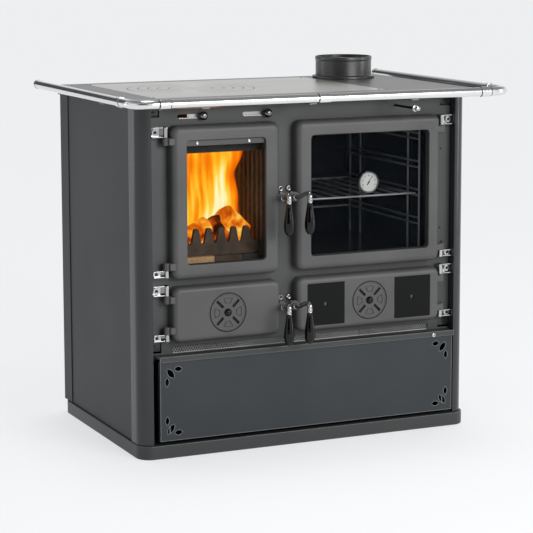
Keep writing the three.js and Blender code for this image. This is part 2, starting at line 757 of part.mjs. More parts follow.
// Adds the hinge lugs and the handle boss, with their bores.
function dressDoor(door, slab) {
  const lugs = [upperLugZ(door), lowerLugZ(door)];
  const boss = rodY(shaftX(door), shaftZ(door), bossRadius, bossFront, bossBack);
  const solid = join(slab, ...lugs.map((z) => hingeLug(door, z)), boss);
  const pinBores = lugs.map((z) => rodZ(hingeX(door), hingeDepth, pinRadius + pinPlay, z - fit, z + lugHeight + fit));
  const shaftBore = rodY(shaftX(door), shaftZ(door), shaftRadius + pinPlay, 0, bossBack + fit);
  return cut(solid, ...pinBores, shaftBore);
}

function windowEdges(door, border) {
  return {
    x0: door.x0 + border.left, x1: door.x1 - border.right, z0: door.z0 + border.bottom, z1: door.z1 - border.top,
  };
}

function windowDoor(door, border, glassDepth) {
  const { x0, x1, z0, z1 } = windowEdges(door, border);
  const hole = slabY(roundedRectangle(x0, x1, z0, z1, windowCorner), -fit, doorThickness + fit);
  const lap = glassLap;
  const pocket = box(x0 - lap, x1 + lap, glassDepth, doorThickness + fit, z0 - lap, z1 + lap);
  return dressDoor(door, cut(doorBlank(door), hole, pocket));
}

function doorGlass(door, border, glassDepth) {
  const { x0, x1, z0, z1 } = windowEdges(door, border);
  const lap = glassLap - fit;
  const front = glassDepth + fit;
  return box(x0 - lap, x1 + lap, front, front + glassThickness, z0 - lap, z1 + lap);
}

function fireGlassClip() {
  const { x0, x1, z0, z1 } = windowEdges(doors.fire, fireBorder);
  const outline = roundedRectangle(x0 + fit, x1 - fit, z0 + fit, z1 - fit, windowCorner - fit);
  const filled = slabY(outline, fireGlassDepth - clipThickness, fireGlassDepth);
  return cut(filled, box(x0, x1, 0, doorThickness, z0, z1 - fit - clipHeight));
}

const dialCentre = (door) => ({ x: (door.x0 + door.x1) / 2, z: (door.z0 + door.z1) / 2 - 1.6 });

// The four diagonal air slots of a dial and of the wall behind it.
function dialSlots(door, y0, y1, extra) {
  const { x, z } = dialCentre(door);
  return [45, 135, 225, 315].map((degrees) => {
    const length = dialSlotLength + extra;
    const geometry = new THREE.BoxGeometry(length, y1 - y0, dialSlotWidth + extra);
    geometry.translate(dialSlotRadius, (y0 + y1) / 2, 0);
    geometry.rotateY(THREE.MathUtils.degToRad(degrees));
    geometry.translate(x, 0, z);
    return toSolid(geometry);
  });
}

function solidDoor(door) {
  const rim = 2 * doorEdgeRadius;
  const { x, z } = dialCentre(door);
  const pocket = box(door.x0 + rim, door.x1 - rim, doorWall, doorThickness + fit, door.z0 + rim, door.z1 - rim);
  const recess = rodY(x, z, dialRadius, -fit, dialThickness + 2 * fit, sides.dial);
  const pivot = rodY(x, z, pinRadius + pinPlay, 0, doorWall + fit);
  return dressDoor(door, cut(doorBlank(door), pocket, recess, pivot, ...dialSlots(door, 0, doorWall + fit, 1)));
}

function airDial(door) {
  const { x, z } = dialCentre(door);
  const back = dialThickness + fit;
  const face = fit;
  const edge = dialRadius - runGap;
  const points = [
    [0, -8], [dialKnobRadius * 0.6, -7], [dialKnobRadius, -3], [dialKnobRadius, face], [edge - 1, face],
    [edge, face + 1], [edge, back], [pinRadius, back], [pinRadius, doorWall + 4], [0, doorWall + 4],
  ];
  return cut(turnedY(points, x, z, sides.dial), ...dialSlots(door, -fit, doorWall, 0));
}

function insertRecess(offset) {
  const { x, z } = dialCentre(doors.soot);
  const half = insertWidth / 2;
  const tall = insertHeight / 2;
  const centre = x + offset;
  return box(centre - half - fit, centre + half + fit, -fit, insertThickness + fit, z - tall - fit, z + tall + fit);
}

function sootInsert(offset) {
  const { x, z } = dialCentre(doors.soot);
  const half = insertWidth / 2;
  const tall = insertHeight / 2;
  const centre = x + offset;
  const tile = box(centre - half, centre + half, 0, insertThickness, z - tall, z + tall);
  return cut(tile, rodY(centre, z, insertHoleRadius, -fit, insertThickness + fit));
}

function thermometer() {
  const back = ovenGlassDepth + 2 * fit + glassThickness;
  const rim = back + thermometerThickness;
  const r = thermometerRadius;
  const points = [[0, back], [r - 2, back], [r, back + 2], [r, rim - 1], [r - 1, rim], [0, rim]];
  return turnedY(points, thermometerX, thermometerZ, sides.dial);
}

// Hinge bracket: foot on the facade, two flanges, a bolt and the pin that enters the lug.
function hingeBracket(door, above) {
  const x = hingeX(door);
  const lugZ = above ? upperLugZ(door) : lowerLugZ(door);
  const z0 = above ? lugZ + lugHeight + fit : lugZ - fit - lowerBracketHeight;
  const z1 = above ? z0 + upperBracketHeight : lugZ - fit;
  const back = facadeY - fit;
  const [x0, x1] = door.side < 0 ? [x - bracketReach, x + knuckleRadius] : [x - knuckleRadius, x + bracketReach];
  const foot = box(x0, x1, back - bracketFlange, back, z0, z1);
  const flange = (z) => box(x0, x1, hingeDepth, back, z, z + bracketFlange);
  const web = box(x - knuckleRadius, x + knuckleRadius, hingeDepth, back, z0, z1);
  const knuckle = rodZ(x, hingeDepth, knuckleRadius, z0, z1);
  const pin = above
    ? rodZ(x, hingeDepth, pinRadius, z0 - pinReach, z1)
    : rodZ(x, hingeDepth, pinRadius, z0, z1 + pinReach);
  const boltX = x + door.side * bracketBoltReach;
  const bolt = rodY(boltX, (z0 + z1) / 2, bracketBoltRadius, back - bracketFlange - 7, back);
  return join(foot, flange(z0), flange(z1 - bracketFlange), web, knuckle, pin, bolt);
}

// Handle: shaft with its latch tongue, and the arm that carries the hanging grip.
function handleArm(door) {
  const x = shaftX(door);
  const z = shaftZ(door);
  const inward = door.side;
  const gripX = x + inward * handleShift;
  const tongueY = bossBack + 1;
  const shaft = rodY(x, z, shaftRadius, -armRadius, tongueY + 4, sides.small);
  const collar = rodY(x, z, collarRadius, -armRadius, bossFront - fit);
  const tongueTip = x - inward * tongueLength;
  const tongue = box(
    Math.min(x, tongueTip), Math.max(x, tongueTip), tongueY, tongueY + 4, z - tongueWidth / 2, z + tongueWidth / 2,
  );
  const at = (t, y, dz) => new THREE.Vector3(x + inward * handleShift * t, y, z + dz);
  const curve = new THREE.CatmullRomCurve3([
    at(0, 0, 0), at(0.1, -16, 1), at(0.55, -34, handleRise * 0.6), at(0.95, -50, handleRise),
    at(1, -handleReach, handleRise - 6), at(1, -handleReach, -2),
  ]);
  const arm = bar(curve, armRadius, armSteps, sides.small / 2);
  const sleeve = rodZ(gripX, -handleReach, sleeveRadius, z - 8, z + 3, sides.small);
  return join(shaft, collar, tongue, arm, sleeve);
}

function handleGrip(door) {
  const x = shaftX(door) + door.side * handleShift;
  const top = shaftZ(door) - 8 - fit;
  const foot = top - gripLength;
  const r = gripRadius;
  const points = gripProfile.map(([wide, up]) => [wide * r, foot + up * gripLength]);
  return turnedZ(points, x, -handleReach, sides.medium);
}

// Controls and drawer -----------------------------------------------------------------------

function airLever(x) {
  const stem = rodY(x, leverZ, leverStemRadius, facadeY - leverKnobNeck, linerFront + plate, sides.small);
  const half = leverSlotWidth / 2 + 3;
  const slide = box(x - leverTravel / 2, x + leverTravel / 2, linerFront, linerFront + 2, leverZ - half, leverZ + half);
  const r = leverKnobRadius;
  const front = facadeY - leverKnobNeck - r;
  const neck = facadeY - fit - 2;
  const profile = [[0, 0], [0.6, 0.14], [0.95, 0.55], [1, 0.9], [0.6, 1.3]];
  const knob = profile.map(([wide, deep]) => [wide * r, front + deep * r]);
  const points = [...knob, [r * 0.5, neck], [0, neck]];
  return join(stem, slide, turnedY(points, x, leverZ, sides.medium));
}

function bypassRod() {
  const y = facadeY - bypassReach;
  const r = bypassBallRadius;
  const disc = bypassDiscRadius;
  const tail = linerFront + 3 * r;
  const points = [
    [0, y - r], [r * 0.7, y - r * 0.7], [r, y], [r * 0.7, y + r * 0.7], [r * 0.6, y + r * 1.15],
    [disc, y + r * 1.4], [disc, y + r * 1.85], [bypassRodRadius, y + r * 2.8], [bypassRodRadius, tail], [0, tail],
  ];
  return turnedY(points, bypassX, bypassZ, sides.small);
}

// A leaf-shaped hole between two points, as wide as asked.
function leaf(from, to, width) {
  const [ax, az] = from;
  const [bx, bz] = to;
  const nx = ((az - bz) / Math.hypot(bx - ax, bz - az)) * width;
  const nz = ((bx - ax) / Math.hypot(bx - ax, bz - az)) * width;
  const outline = new THREE.Shape();
  const midX = (ax + bx) / 2;
  const midZ = (az + bz) / 2;
  outline.moveTo(ax, az);
  outline.quadraticCurveTo(midX + nx, midZ + nz, bx, bz);
  outline.quadraticCurveTo(midX - nx, midZ - nz, ax, az);
  return slabY(outline, drawerFrontY - fit, drawerFrontY + drawerWall + fit, 4);
}

// Three leaves in each corner of the drawer front, given from that corner.
function cornerLeaves(x, z, dx, dz) {
  const at = (u, v) => [x + dx * u, z + dz * v];
  return [
    leaf(at(18, 17), at(36, 40), 14),
    leaf(at(36, 18.5), at(56.5, 19), 12),
    leaf(at(17.5, 38.4), at(17.5, 60), 10),
  ];
}

function woodDrawer() {
  const half = facadeHalf - drawerSideGap;
  const z0 = plinthHeight + drawerGap;
  const z1 = z0 + drawerFrontHeight;
  const boxHalf = half - drawerBoxInset;
  const inner = drawerFrontY + drawerWall;
  const front = box(-half, half, drawerFrontY, inner, z0, z1);
  const hemBlock = box(-half, half, drawerFrontY, drawerFrontY + drawerHem, z0, z1);
  const hemHollow = box(-half + drawerWall, half - drawerWall, inner, caseDepth, z0 + drawerWall, z1 - drawerWall);
  const leaves = [[-1, 1], [1, 1], [-1, -1], [1, -1]].flatMap(([sx, sz]) =>
    cornerLeaves(sx * half, sz > 0 ? z1 : z0, -sx, -sz));
  const back = drawerFrontY + drawerDepth;
  const tray = box(-boxHalf, boxHalf, drawerFrontY, back, z0, z0 + drawerBoxHeight);
  const trayHollow = box(-boxHalf + drawerWall, boxHalf - drawerWall, inner, back - drawerWall, z0 + drawerWall, z1);
  const skid = (x) => box(x, x + skidWidth, drawerFrontY + skidSetback, back, plinthHeight + fit, z0);
  const body = join(front, hemBlock, tray, skid(-boxHalf), skid(boxHalf - skidWidth));
  return cut(body, cut(hemHollow, tray), trayHollow, ...leaves);
}

// Assembly ----------------------------------------------------------------------------------

piece('plinth', plinth(), casingPaint);
piece('left_side_panel', sidePanel(-1), casingPaint);
piece('right_side_panel', sidePanel(1), casingPaint);
piece('rear_casing', rearCasing(), casingPaint);
piece('front_left_column', column(-1), casingPaint);
piece('front_right_column', column(1), casingPaint);
piece('facade', facade(), facadePaint);
piece('front_ledge', frontLedge(), facadePaint);
piece('vent_grille', ventGrille(), castBlack);

piece('worktop_frame', worktopFrame(), steelTop);
piece('hob_plate', hobPlateSolid(), steelTop);
hobRadii.slice(0, -1).forEach((radius, i) => {
  piece(`hob_ring_${i + 1}`, cut(steppedDisc(radius), steppedHole(hobRadii[i + 1])), steelTop);
});
piece('hob_lid', steppedDisc(hobRadii.at(-1)), steelTop);
piece('flue_collar', flueCollar(), castBlack);
piece('rail_front', railFrontBar(), chrome);
piece('rail_left', railSideBar(-1), chrome);
piece('rail_right', railSideBar(1), chrome);

piece('lower_chamber', lowerChamber(), castBlack);
piece('firebox', firebox(), fireclay);
piece('fire_grate', fireGrate(), castBlack);
piece('log_guard', logGuard(), castBlack);
piece('ash_pan', ashPan(), casingPaint);
piece('oven_liner', ovenLiner(), enamel);
piece('oven_rack', ovenRack(), chrome);
piece('oven_shelf', ovenShelf(), chrome);

piece('fire_door_frame', windowDoor(doors.fire, fireBorder, fireGlassDepth), castDoor);
piece('fire_door_glass', doorGlass(doors.fire, fireBorder, fireGlassDepth), darkGlass);
piece('fire_glass_clip', fireGlassClip(), castBlack);
piece('oven_door_frame', windowDoor(doors.oven, ovenBorder, ovenGlassDepth), castDoor);
piece('oven_door_glass', doorGlass(doors.oven, ovenBorder, ovenGlassDepth), darkGlass);
piece('oven_thermometer', thermometer(), whiteDial);
piece('ash_door', solidDoor(doors.ash), castDoor);
piece('ash_door_dial', airDial(doors.ash), castDoor);
piece('soot_door', cut(solidDoor(doors.soot), insertRecess(-insertOffset), insertRecess(insertOffset)), castDoor);
piece('soot_door_dial', airDial(doors.soot), castDoor);
piece('soot_door_tile_left', sootInsert(-insertOffset), blackGloss);
piece('soot_door_tile_right', sootInsert(insertOffset), blackGloss);

for (const [name, door] of Object.entries(doors)) {
  piece(`${name}_hinge_upper`, hingeBracket(door, true), chrome);
  piece(`${name}_hinge_lower`, hingeBracket(door, false), chrome);
  piece(`${name}_handle_arm`, handleArm(door), chrome);
  piece(`${name}_handle_grip`, handleGrip(door), blackGloss);
}

piece('wood_drawer', woodDrawer(), casingPaint);
piece('primary_air_lever', airLever(primaryLeverX), chrome);
piece('secondary_air_lever', airLever(secondaryLeverX), chrome);
piece('bypass_rod', bypassRod(), chrome);

// The origin lies on the floor, under the middle of the stove's overall depth.
stove.position.y = (railFront + railRadius + railCollar - railBack) / 2;

export default stove;
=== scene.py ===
import json
import random
from math import cos, exp, pi, radians, sin

import bmesh
import bpy
from mathutils import Matrix, Vector, noise

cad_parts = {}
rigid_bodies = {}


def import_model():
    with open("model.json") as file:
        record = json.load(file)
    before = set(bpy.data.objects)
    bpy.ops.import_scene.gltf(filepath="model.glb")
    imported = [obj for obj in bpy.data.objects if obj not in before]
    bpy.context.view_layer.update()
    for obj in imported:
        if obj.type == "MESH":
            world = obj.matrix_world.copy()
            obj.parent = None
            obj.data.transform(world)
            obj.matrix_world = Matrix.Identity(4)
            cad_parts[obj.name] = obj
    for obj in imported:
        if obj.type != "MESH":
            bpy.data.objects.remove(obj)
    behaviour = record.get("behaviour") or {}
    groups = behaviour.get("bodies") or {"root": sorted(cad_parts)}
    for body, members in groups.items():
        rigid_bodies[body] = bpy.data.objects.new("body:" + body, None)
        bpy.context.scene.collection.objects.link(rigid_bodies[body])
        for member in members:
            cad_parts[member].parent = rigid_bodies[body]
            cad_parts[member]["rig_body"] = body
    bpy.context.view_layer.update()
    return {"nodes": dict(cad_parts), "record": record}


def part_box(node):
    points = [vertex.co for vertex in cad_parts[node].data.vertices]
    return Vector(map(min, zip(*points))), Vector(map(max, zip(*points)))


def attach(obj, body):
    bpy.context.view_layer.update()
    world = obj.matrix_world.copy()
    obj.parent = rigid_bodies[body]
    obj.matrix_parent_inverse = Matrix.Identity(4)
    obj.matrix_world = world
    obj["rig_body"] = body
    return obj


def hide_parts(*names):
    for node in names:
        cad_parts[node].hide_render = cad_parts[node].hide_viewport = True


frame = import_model()
nodes = frame["nodes"]
SLOT = {part["node"]: part["material_slot"] for part in frame["record"]["subparts"]}

# Sizes of the drawing that several pieces share, in millimetres. x runs to the right, y backwards
# from the face of the doors, z up from the floor. side is -1 for hinges on the left, 1 on the right.
SHIFT_Y = -237.75  # where the drawing's y = 0 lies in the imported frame
DOOR_DEPTH = 33.7
DOORS = {
    "fire": dict(x0=-357, x1=-78, z0=429, z1=796, side=-1),
    "oven": dict(x0=-33, x1=362, z0=429, z1=796, side=1),
    "ash": dict(x0=-357, x1=-78, z0=277.5, z1=411.7, side=-1),
    "soot": dict(x0=-33, x1=362, z0=277.5, z1=411.7, side=1),
}
WINDOWS = {
    "fire": dict(left=36.5, right=38.5, bottom=35.3, top=35.5, depth=11),
    "oven": dict(left=37.3, right=32.8, bottom=34.8, top=36.2, depth=17),
}
FACADE_Y = 34
PIN_Y = 17
LUG_HEIGHT = 18
TILE_OUT = 120
TOP_Z = 860
WELL = (-386, 232, 40, 522)
HOB = (-188, 297)
RING_RADII = [160, 134, 109, 85, 57.5]
FLUE = (321, 461)
FLUE_BORE = 70.5
RAIL_X, RAIL_Y, RAIL_Z = 490, -112, 859
RAIL_RADIUS = 11
RAIL_END = 433.7
RAIL_BEND = 52
LEVERS = {"primary": -268, "secondary": -100}
LEVER_Z = 816
BYPASS = (251, 821)
WIRE = 2.5
THERMOMETER = (172, 634)


def at(x, y, z):
    """A point of the drawing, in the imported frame's metres."""
    return Vector((x / 1000, (y + SHIFT_Y) / 1000, z / 1000))


def link(name, data):
    obj = bpy.data.objects.new(name, data)
    bpy.context.scene.collection.objects.link(obj)
    return obj


# ---- Material tools


def tree(name):
    mat = bpy.data.materials.new(name)
    mat.use_nodes = True
    nt = mat.node_tree
    nt.nodes.clear()
    return mat, nt


def add(nt, kind, inputs=(), **props):
    """A new shader node; an input is linked where its value is a socket."""
    node = nt.nodes.new("ShaderNode" + kind)
    for key, value in props.items():
        setattr(node, key, value)
    for key, value in dict(inputs).items():
        if isinstance(value, bpy.types.NodeSocket):
            nt.links.new(value, node.inputs[key])
        else:
            node.inputs[key].default_value = value
    return node


def rgb(hexa):
    """A linear colour from a hexadecimal one."""
    v = [int(hexa[i:i + 2], 16) / 255 for i in (1, 3, 5)]
    return tuple(c / 12.92 if c <= 0.04045 else ((c + 0.055) / 1.055) ** 2.4 for c in v) + (1,)


def ramp(nt, fac, stops):
    node = add(nt, "ValToRGB", {"Fac": fac})
    elements = node.color_ramp.elements
    while len(elements) > 1:
        elements.remove(elements[-1])
    elements[0].position, elements[0].color = stops[0]
    for position, colour in stops[1:]:
        elements.new(position).color = colour
    return node.outputs["Color"]


def spread(nt, value, low, high, to_low=0.0, to_high=1.0):
    """The value's range from low to high stretched over another range."""
    inputs = {"Value": value, "From Min": low, "From Max": high, "To Min": to_low, "To Max": to_high}
    return add(nt, "MapRange", inputs).outputs[0]


def maths(nt, operation, a, b):
    return add(nt, "Math", {0: a, 1: b}, operation=operation).outputs[0]


def blend(nt, fac, first, second):
    return add(nt, "MixShader", {0: fac, 1: first.outputs[0], 2: second.outputs[0]})


def grain(nt, scale, stretch=(1, 1, 1), detail=4, rough=0.55):
    coord = add(nt, "TexCoord").outputs["Object"]
    vector = add(nt, "Mapping", {"Vector": coord, "Scale": stretch}).outputs["Vector"]
    inputs = {"Vector": vector, "Scale": scale, "Detail": detail, "Roughness": rough}
    return add(nt, "TexNoise", inputs).outputs["Fac"]


def paint_edge_highlight(nt, colour, edge_highlight):
    """The colour, turning to a lighter one along edges: a painted highlight where rounded edges would catch
    the light.
    """
    rounded = add(nt, "Bevel", {"Radius": 0.0032}, samples=8).outputs[0]
    flat = add(nt, "NewGeometry").outputs["True Normal"]
    agree = add(nt, "VectorMath", {0: rounded, 1: flat}, operation="DOT_PRODUCT").outputs["Value"]
    mixed = add(nt, "Mix", data_type="RGBA")
    nt.links.new(spread(nt, agree, 0.995, 0.88), mixed.inputs["Factor"])
    nt.links.new(colour, mixed.inputs[6])
    mixed.inputs[7].default_value = rgb(edge_highlight)
    return mixed.outputs[2]


def surface(name, dark, light, rough, metallic, fine, bump=0.15, depth=0.0003, cloud=5, spec=0.5,
            stretch=(1, 1, 1), cloud_stretch=(1, 1, 1), edge_highlight=None):
    """A finish with fine grain, broad drift of colour, uneven gloss and a light bump, and a painted
    highlight along its edges where an edge colour is given.
    """
    mat, nt = tree(name)
    small = grain(nt, fine, stretch, 3)
    broad = grain(nt, cloud, cloud_stretch, 5)
    half = maths(nt, "MULTIPLY", maths(nt, "ADD", small, broad), 0.5)
    colour = ramp(nt, half, [(0.36, rgb(dark)), (0.64, rgb(light))])
    gloss = spread(nt, half, 0.3, 0.7, *rough)
    dent = add(nt, "Bump", {"Strength": bump, "Distance": depth, "Height": small}).outputs[0]
    if edge_highlight:
        colour = paint_edge_highlight(nt, colour, edge_highlight)
    bsdf = add(nt, "BsdfPrincipled", {
        "Base Color": colour, "Roughness": gloss, "Normal": dent, "Metallic": metallic,
        "Specular IOR Level": spec})
    add(nt, "OutputMaterial", {"Surface": bsdf.outputs[0]})
    return mat


def glass(name, tint, alpha, rough=0.02):
    """Glass with an uneven veil of soot or tint."""
    mat, nt = tree(name)
    haze = grain(nt, 6, (1, 1, 2), 5)
    gloss = spread(nt, haze, 0.3, 0.75, rough, rough + 0.05)
    veil = spread(nt, haze, 0.35, 0.8, *alpha)
    bsdf = add(nt, "BsdfPrincipled", {
        "Base Color": tint, "Roughness": gloss, "Alpha": veil, "IOR": 1.45, "Specular IOR Level": 0.22})
    add(nt, "OutputMaterial", {"Surface": bsdf.outputs[0]})
    return mat


def heat_material(name, stops, strength, see_through, lick_grain):
    """A glow whose colour follows the vertex value ember_level."""
    mat, nt = tree(name)
    heat = add(nt, "Attribute", attribute_name="ember_level").outputs["Fac"]
    lick = maths(nt, "MULTIPLY", grain(nt, *lick_grain), 0.34)
    level = maths(nt, "SUBTRACT", maths(nt, "ADD", heat, lick), 0.17)
    surface_node = add(nt, "Emission", {"Color": ramp(nt, level, stops), "Strength": strength})
    if see_through:
        clear = add(nt, "BsdfTransparent")
        surface_node = blend(nt, spread(nt, level, 0.06, 0.24), clear, surface_node)
    add(nt, "OutputMaterial", {"Surface": surface_node.outputs[0]})
    return mat


# ---- Finishes

FINISH = {
    "facade": surface("facade_paint", "#414242", "#4c4d4d", (0.38, 0.5), 0.2, 1500, 0.12, 0.0002),
    "door_iron": surface("door_paint", "#464646", "#5c5c5b", (0.42, 0.58), 0.15, 1700, 0.35, 0.0004),
    "black_iron": surface("black_iron", "#191817", "#2c2a28", (0.45, 0.7), 0.3, 900, 0.4, 0.0005),
    "lining": surface("browned_lining", "#0d0a07", "#6b543d", (0.75, 0.95), 0.0, 300, 0.8, 0.0012, 12),
    "steel_top": surface("ground_steel", "#aeacaa", "#d6d4d1", (0.26, 0.42), 0.95, 60, 0.05, 0.0001, 3,
                         stretch=(1, 26, 1), cloud_stretch=(1, 2.5, 1)),
    "chrome": surface("polished_chrome", "#a9a9a9", "#c6c6c6", (0.1, 0.15), 1.0, 900, 0.001, 0.00001, 9),
    "pan_steel": surface("dull_sheet", "#55575a", "#8a8c8e", (0.35, 0.55), 0.85, 300, cloud=14),
    "enamel": surface("oven_enamel", "#06080a", "#101418", (0.12, 0.3), 0.1, 700, 0.06, cloud=7),
    "dial_white": surface("dial_face", "#dededb", "#f2f2ef", (0.35, 0.5), 0.0, 700, 0.03),
    "tile": surface("black_tile", "#070808", "#0f1010", (0.55, 0.65), 0.0, 1300, 0.1, spec=0.15),
    "grip": surface("black_grip", "#010101", "#040404", (0.08, 0.12), 0.0, 300, 0.01, spec=0.34),
}
RAIL = surface("satin_rail", "#dcdcdc", "#eaeaea", (0.15, 0.21), 1.0, 500, 0.004, 0.00002)
SIDE = surface("side_paint", "#33373a", "#3c4043", (0.45, 0.58), 0.0, 1400, 0.08, 0.0002, spec=0.3)
COLUMN = surface("column_paint", "#2d2e2f", "#363738", (0.2, 0.28), 0.3, 1400, 0.05, 0.0002, spec=0.6)
# The plinth, drawer and ledge carry a painted highlight: a lighter colour along their edges, where the edges
# would catch the light.
PLINTH = surface("plinth_paint", "#353637", "#3e3f3f", (0.38, 0.5), 0.1, 1400, 0.1, 0.0002, edge_highlight="#a3a4a4")
DRAWER = surface("drawer_paint", "#2c3033", "#35393c", (0.3, 0.42), 0.25, 1400, 0.08, 0.0002,
                 edge_highlight="#8c8e8f")
LEDGE = surface("ledge_paint", "#363737", "#414242", (0.38, 0.5), 0.2, 1500, 0.12, 0.0002, edge_highlight="#8c8d8d")
MESH = surface("bright_mesh", "#a5a6a4", "#e2e2de", (0.3, 0.45), 0.2, 700, 0.02)
TRIM = surface("steel_border", "#5e5d5b", "#858381", (0.3, 0.45), 0.95, 60, 0.06, 0.0001, 4,
               stretch=(26, 1, 1))
BOLT = surface("dark_bolt", "#1c1c1c", "#3a3a3a", (0.2, 0.35), 0.9, 600, 0.1)
GASKET = surface("glass_seal", "#111111", "#222120", (0.8, 0.95), 0.0, 1200, 0.8, 0.0008)
SHADOW = surface("slot_shadow", "#050505", "#0b0b0b", (0.6, 0.8), 0.0, 900, 0.2)
BRICK = surface("fire_brick", "#a98257", "#d8b384", (0.8, 0.95), 0.0, 420, 0.6, 0.0008, 30)
GUARD = surface("sooted_guard", "#1e1712", "#5e4a39", (0.7, 0.9), 0.0, 520, 0.9, 0.001, 40)
FLUE_IRON = surface("satin_flue_iron", "#4a4a4a", "#5b5b5a", (0.28, 0.36), 0.7, 1500, 0.12, 0.0002)
RACK_WIRE = surface("rack_wire", "#a5a6a7", "#cfd0d1", (0.25, 0.4), 0.3, 700, 0.02)
DARK_CHROME = surface("dark_chrome", "#6c6c6c", "#848484", (0.12, 0.18), 1.0, 900, 0.001, 0.00001)
LEVER = surface("lever_slide", "#8f8e8c", "#b9b8b6", (0.25, 0.4), 0.8, 400, 0.05, stretch=(1, 1, 12))
GLASS = {
    "fire": glass("fire_glass", (0.02, 0.015, 0.01, 1), (0.03, 0.1)),
    "oven": glass("oven_glass", (0.002, 0.004, 0.007, 1), (0.1, 0.17)),
}
FLAME_STOPS = [
    (0.0, (0.25, 0.02, 0.0, 1)), (0.2, (0.7, 0.09, 0.0, 1)), (0.4, (1.0, 0.22, 0.002, 1)),
    (0.54, (1.0, 0.44, 0.01, 1)), (0.7, (1.0, 0.68, 0.08, 1)), (0.86, (1.0, 0.92, 0.5, 1))]
EMBER_STOPS = [
    (0.0, (0.012, 0.004, 0.002, 1)), (0.3, (0.10, 0.014, 0.002, 1)), (0.52, (0.62, 0.09, 0.002, 1)),
    (0.75, (1.0, 0.3, 0.01, 1)), (0.95, (1.0, 0.68, 0.12, 1))]
FLAME = heat_material("flame", FLAME_STOPS, 1.12, True, (46, (1, 1, 0.13), 4, 0.62))
EMBER = heat_material("glowing_wood", EMBER_STOPS, 1.0, False, (60, (1, 1, 0.5), 5, 0.65))

# ---- Mesh tools


def piece(name, bm, mat, body, node=None, smooth=38, weighted=True):
    """A piece on a body, in place of the CAD node if one is given; mat is a finish's key or a material."""
    bmesh.ops.remove_doubles(bm, verts=bm.verts, dist=1e-6)
    bmesh.ops.recalc_face_normals(bm, faces=bm.faces)
    mesh = bpy.data.meshes.new(name)
    bm.to_mesh(mesh)
    bm.free()
    mesh.shade_smooth()
    mesh.set_sharp_from_angle(angle=radians(smooth))
    obj = link(name, mesh)
    mesh.materials.append(FINISH.get(mat, mat))
    if weighted:
        mod = obj.modifiers.new("normals", "WEIGHTED_NORMAL")
        mod.keep_sharp = True
    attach(obj, body)
    if node:
        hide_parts(node)
    return obj


def soften(node, width=0.8, mat=None, angle=32, segments=2):
    """The CAD node's own shape with its hard edges rounded."""
    bm = bmesh.new()
    bm.from_mesh(nodes[node].data)
    bmesh.ops.remove_doubles(bm, verts=bm.verts, dist=2e-6)
    bmesh.ops.dissolve_limit(bm, angle_limit=radians(1.5), verts=bm.verts, edges=bm.edges)
    obj = piece(f"{node}_shape", bm, mat or SLOT[node], nodes[node]["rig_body"], node,
                       smooth=angle, weighted=False)
    mod = obj.modifiers.new("edges", "BEVEL")
    mod.width = width / 1000
    mod.segments = segments
    mod.limit_method = "ANGLE"
    mod.angle_limit = radians(angle)
    mod.harden_normals = True


def rings(bm, loops, cap_first=False, cap_last=False):
    """Quads between closed loops of equal length; returns the loops' vertices."""
    made = [[bm.verts.new(p) for p in loop] for loop in loops]
    for a, b in zip(made, made[1:]):
        for i in range(len(a)):
            j = (i + 1) % len(a)
            bm.faces.new((a[i], a[j], b[j], b[i]))
    if cap_first:
        bm.faces.new(list(reversed(made[0])))
    if cap_last:
        bm.faces.new(made[-1])
    return made


def fill_between(bm, loops):
    """Closes the flat face that the loops bound, as its outline and its holes."""
    edges = [bm.edges.get((loop[i], loop[(i + 1) % len(loop)])) for loop in loops for i in range(len(loop))]
    bmesh.ops.triangle_fill(bm, use_beauty=True, use_dissolve=False, edges=edges)


def fillet(points, radius, steps=4):
    """Rounds the inner corners of a polyline of (u, v)."""
    out = [tuple(points[0])]
    for a, b, c in zip(points, points[1:], points[2:]):
        a, b, c = Vector(a), Vector(b), Vector(c)
        da, dc = a - b, c - b
        r = min(radius, da.length * 0.45, dc.length * 0.45)
        if r < 0.02 or da.length < 1e-6 or dc.length < 1e-6:
            out.append(tuple(b))
            continue
        p, q = b + da.normalized() * r, b + dc.normalized() * r
        for i in range(steps + 1):
            t = i / steps
            out.append(tuple(p * (1 - t) ** 2 + b * 2 * t * (1 - t) + q * t ** 2))
    out.append(tuple(points[-1]))
    return out


def fillet_closed(points, radius, steps=3):
    """Rounds the corners of a closed outline, apart from its first point."""
    return fillet(points + [points[0]], radius, steps)[:-1]


def turn(bm, profile, centre, axis="z", steps=48, closed=False):
    """A turned form: profile of (radius, place along the axis), centre in the other two."""
    loops = []
    for r, t in (profile + [profile[0]] if closed else profile):
        loop = []
        for i in range(steps):
            a = 2 * pi * i / steps
            u, v = centre[0] + max(r, 0.001) * cos(a), centre[1] + max(r, 0.001) * sin(a)
            loop.append({"z": at(u, v, t), "y": at(u, t, v), "x": at(t, u, v)}[axis])
        loops.append(loop)
    rings(bm, loops)
    bmesh.ops.remove_doubles(bm, verts=bm.verts, dist=3e-6)


def rod(bm, radius, start, end, centre, axis, steps, edge=0.0, edge_steps=4):
    """A turned bar with flat ends, whose edges are rounded where edge is given."""
    profile = [(0, start), (radius, start), (radius, end), (0, end)]
    turn(bm, fillet(profile, edge, edge_steps) if edge else profile, centre, axis, steps)


def turned(name, profile, centre, mat, body, node=None, axis="z", steps=48, closed=False,
           edge=0.0, smooth=38):
    """A piece of one turned form."""
    bm = bmesh.new()
    turn(bm, fillet(profile, edge) if edge else profile, centre, axis, steps, closed)
    piece(name, bm, mat, body, node, smooth)


def sweep(bm, path, radius, steps=24, caps=True):
    """A tube along points in metres; radius is a number or one per point, in millimetres."""
    radii = radius if isinstance(radius, list) else [radius] * len(path)
    loops = []
    normal = None
    for i, p in enumerate(path):
        tangent = (path[min(i + 1, len(path) - 1)] - path[max(i - 1, 0)]).normalized()
        if normal is None:
            normal = tangent.orthogonal().normalized()
        normal = (normal - tangent * normal.dot(tangent)).normalized()
        side = tangent.cross(normal)
        loops.append([p + (normal * cos(a) + side * sin(a)) * radii[i] / 1000
                      for a in (2 * pi * k / steps for k in range(steps))])
    rings(bm, loops, caps, caps)


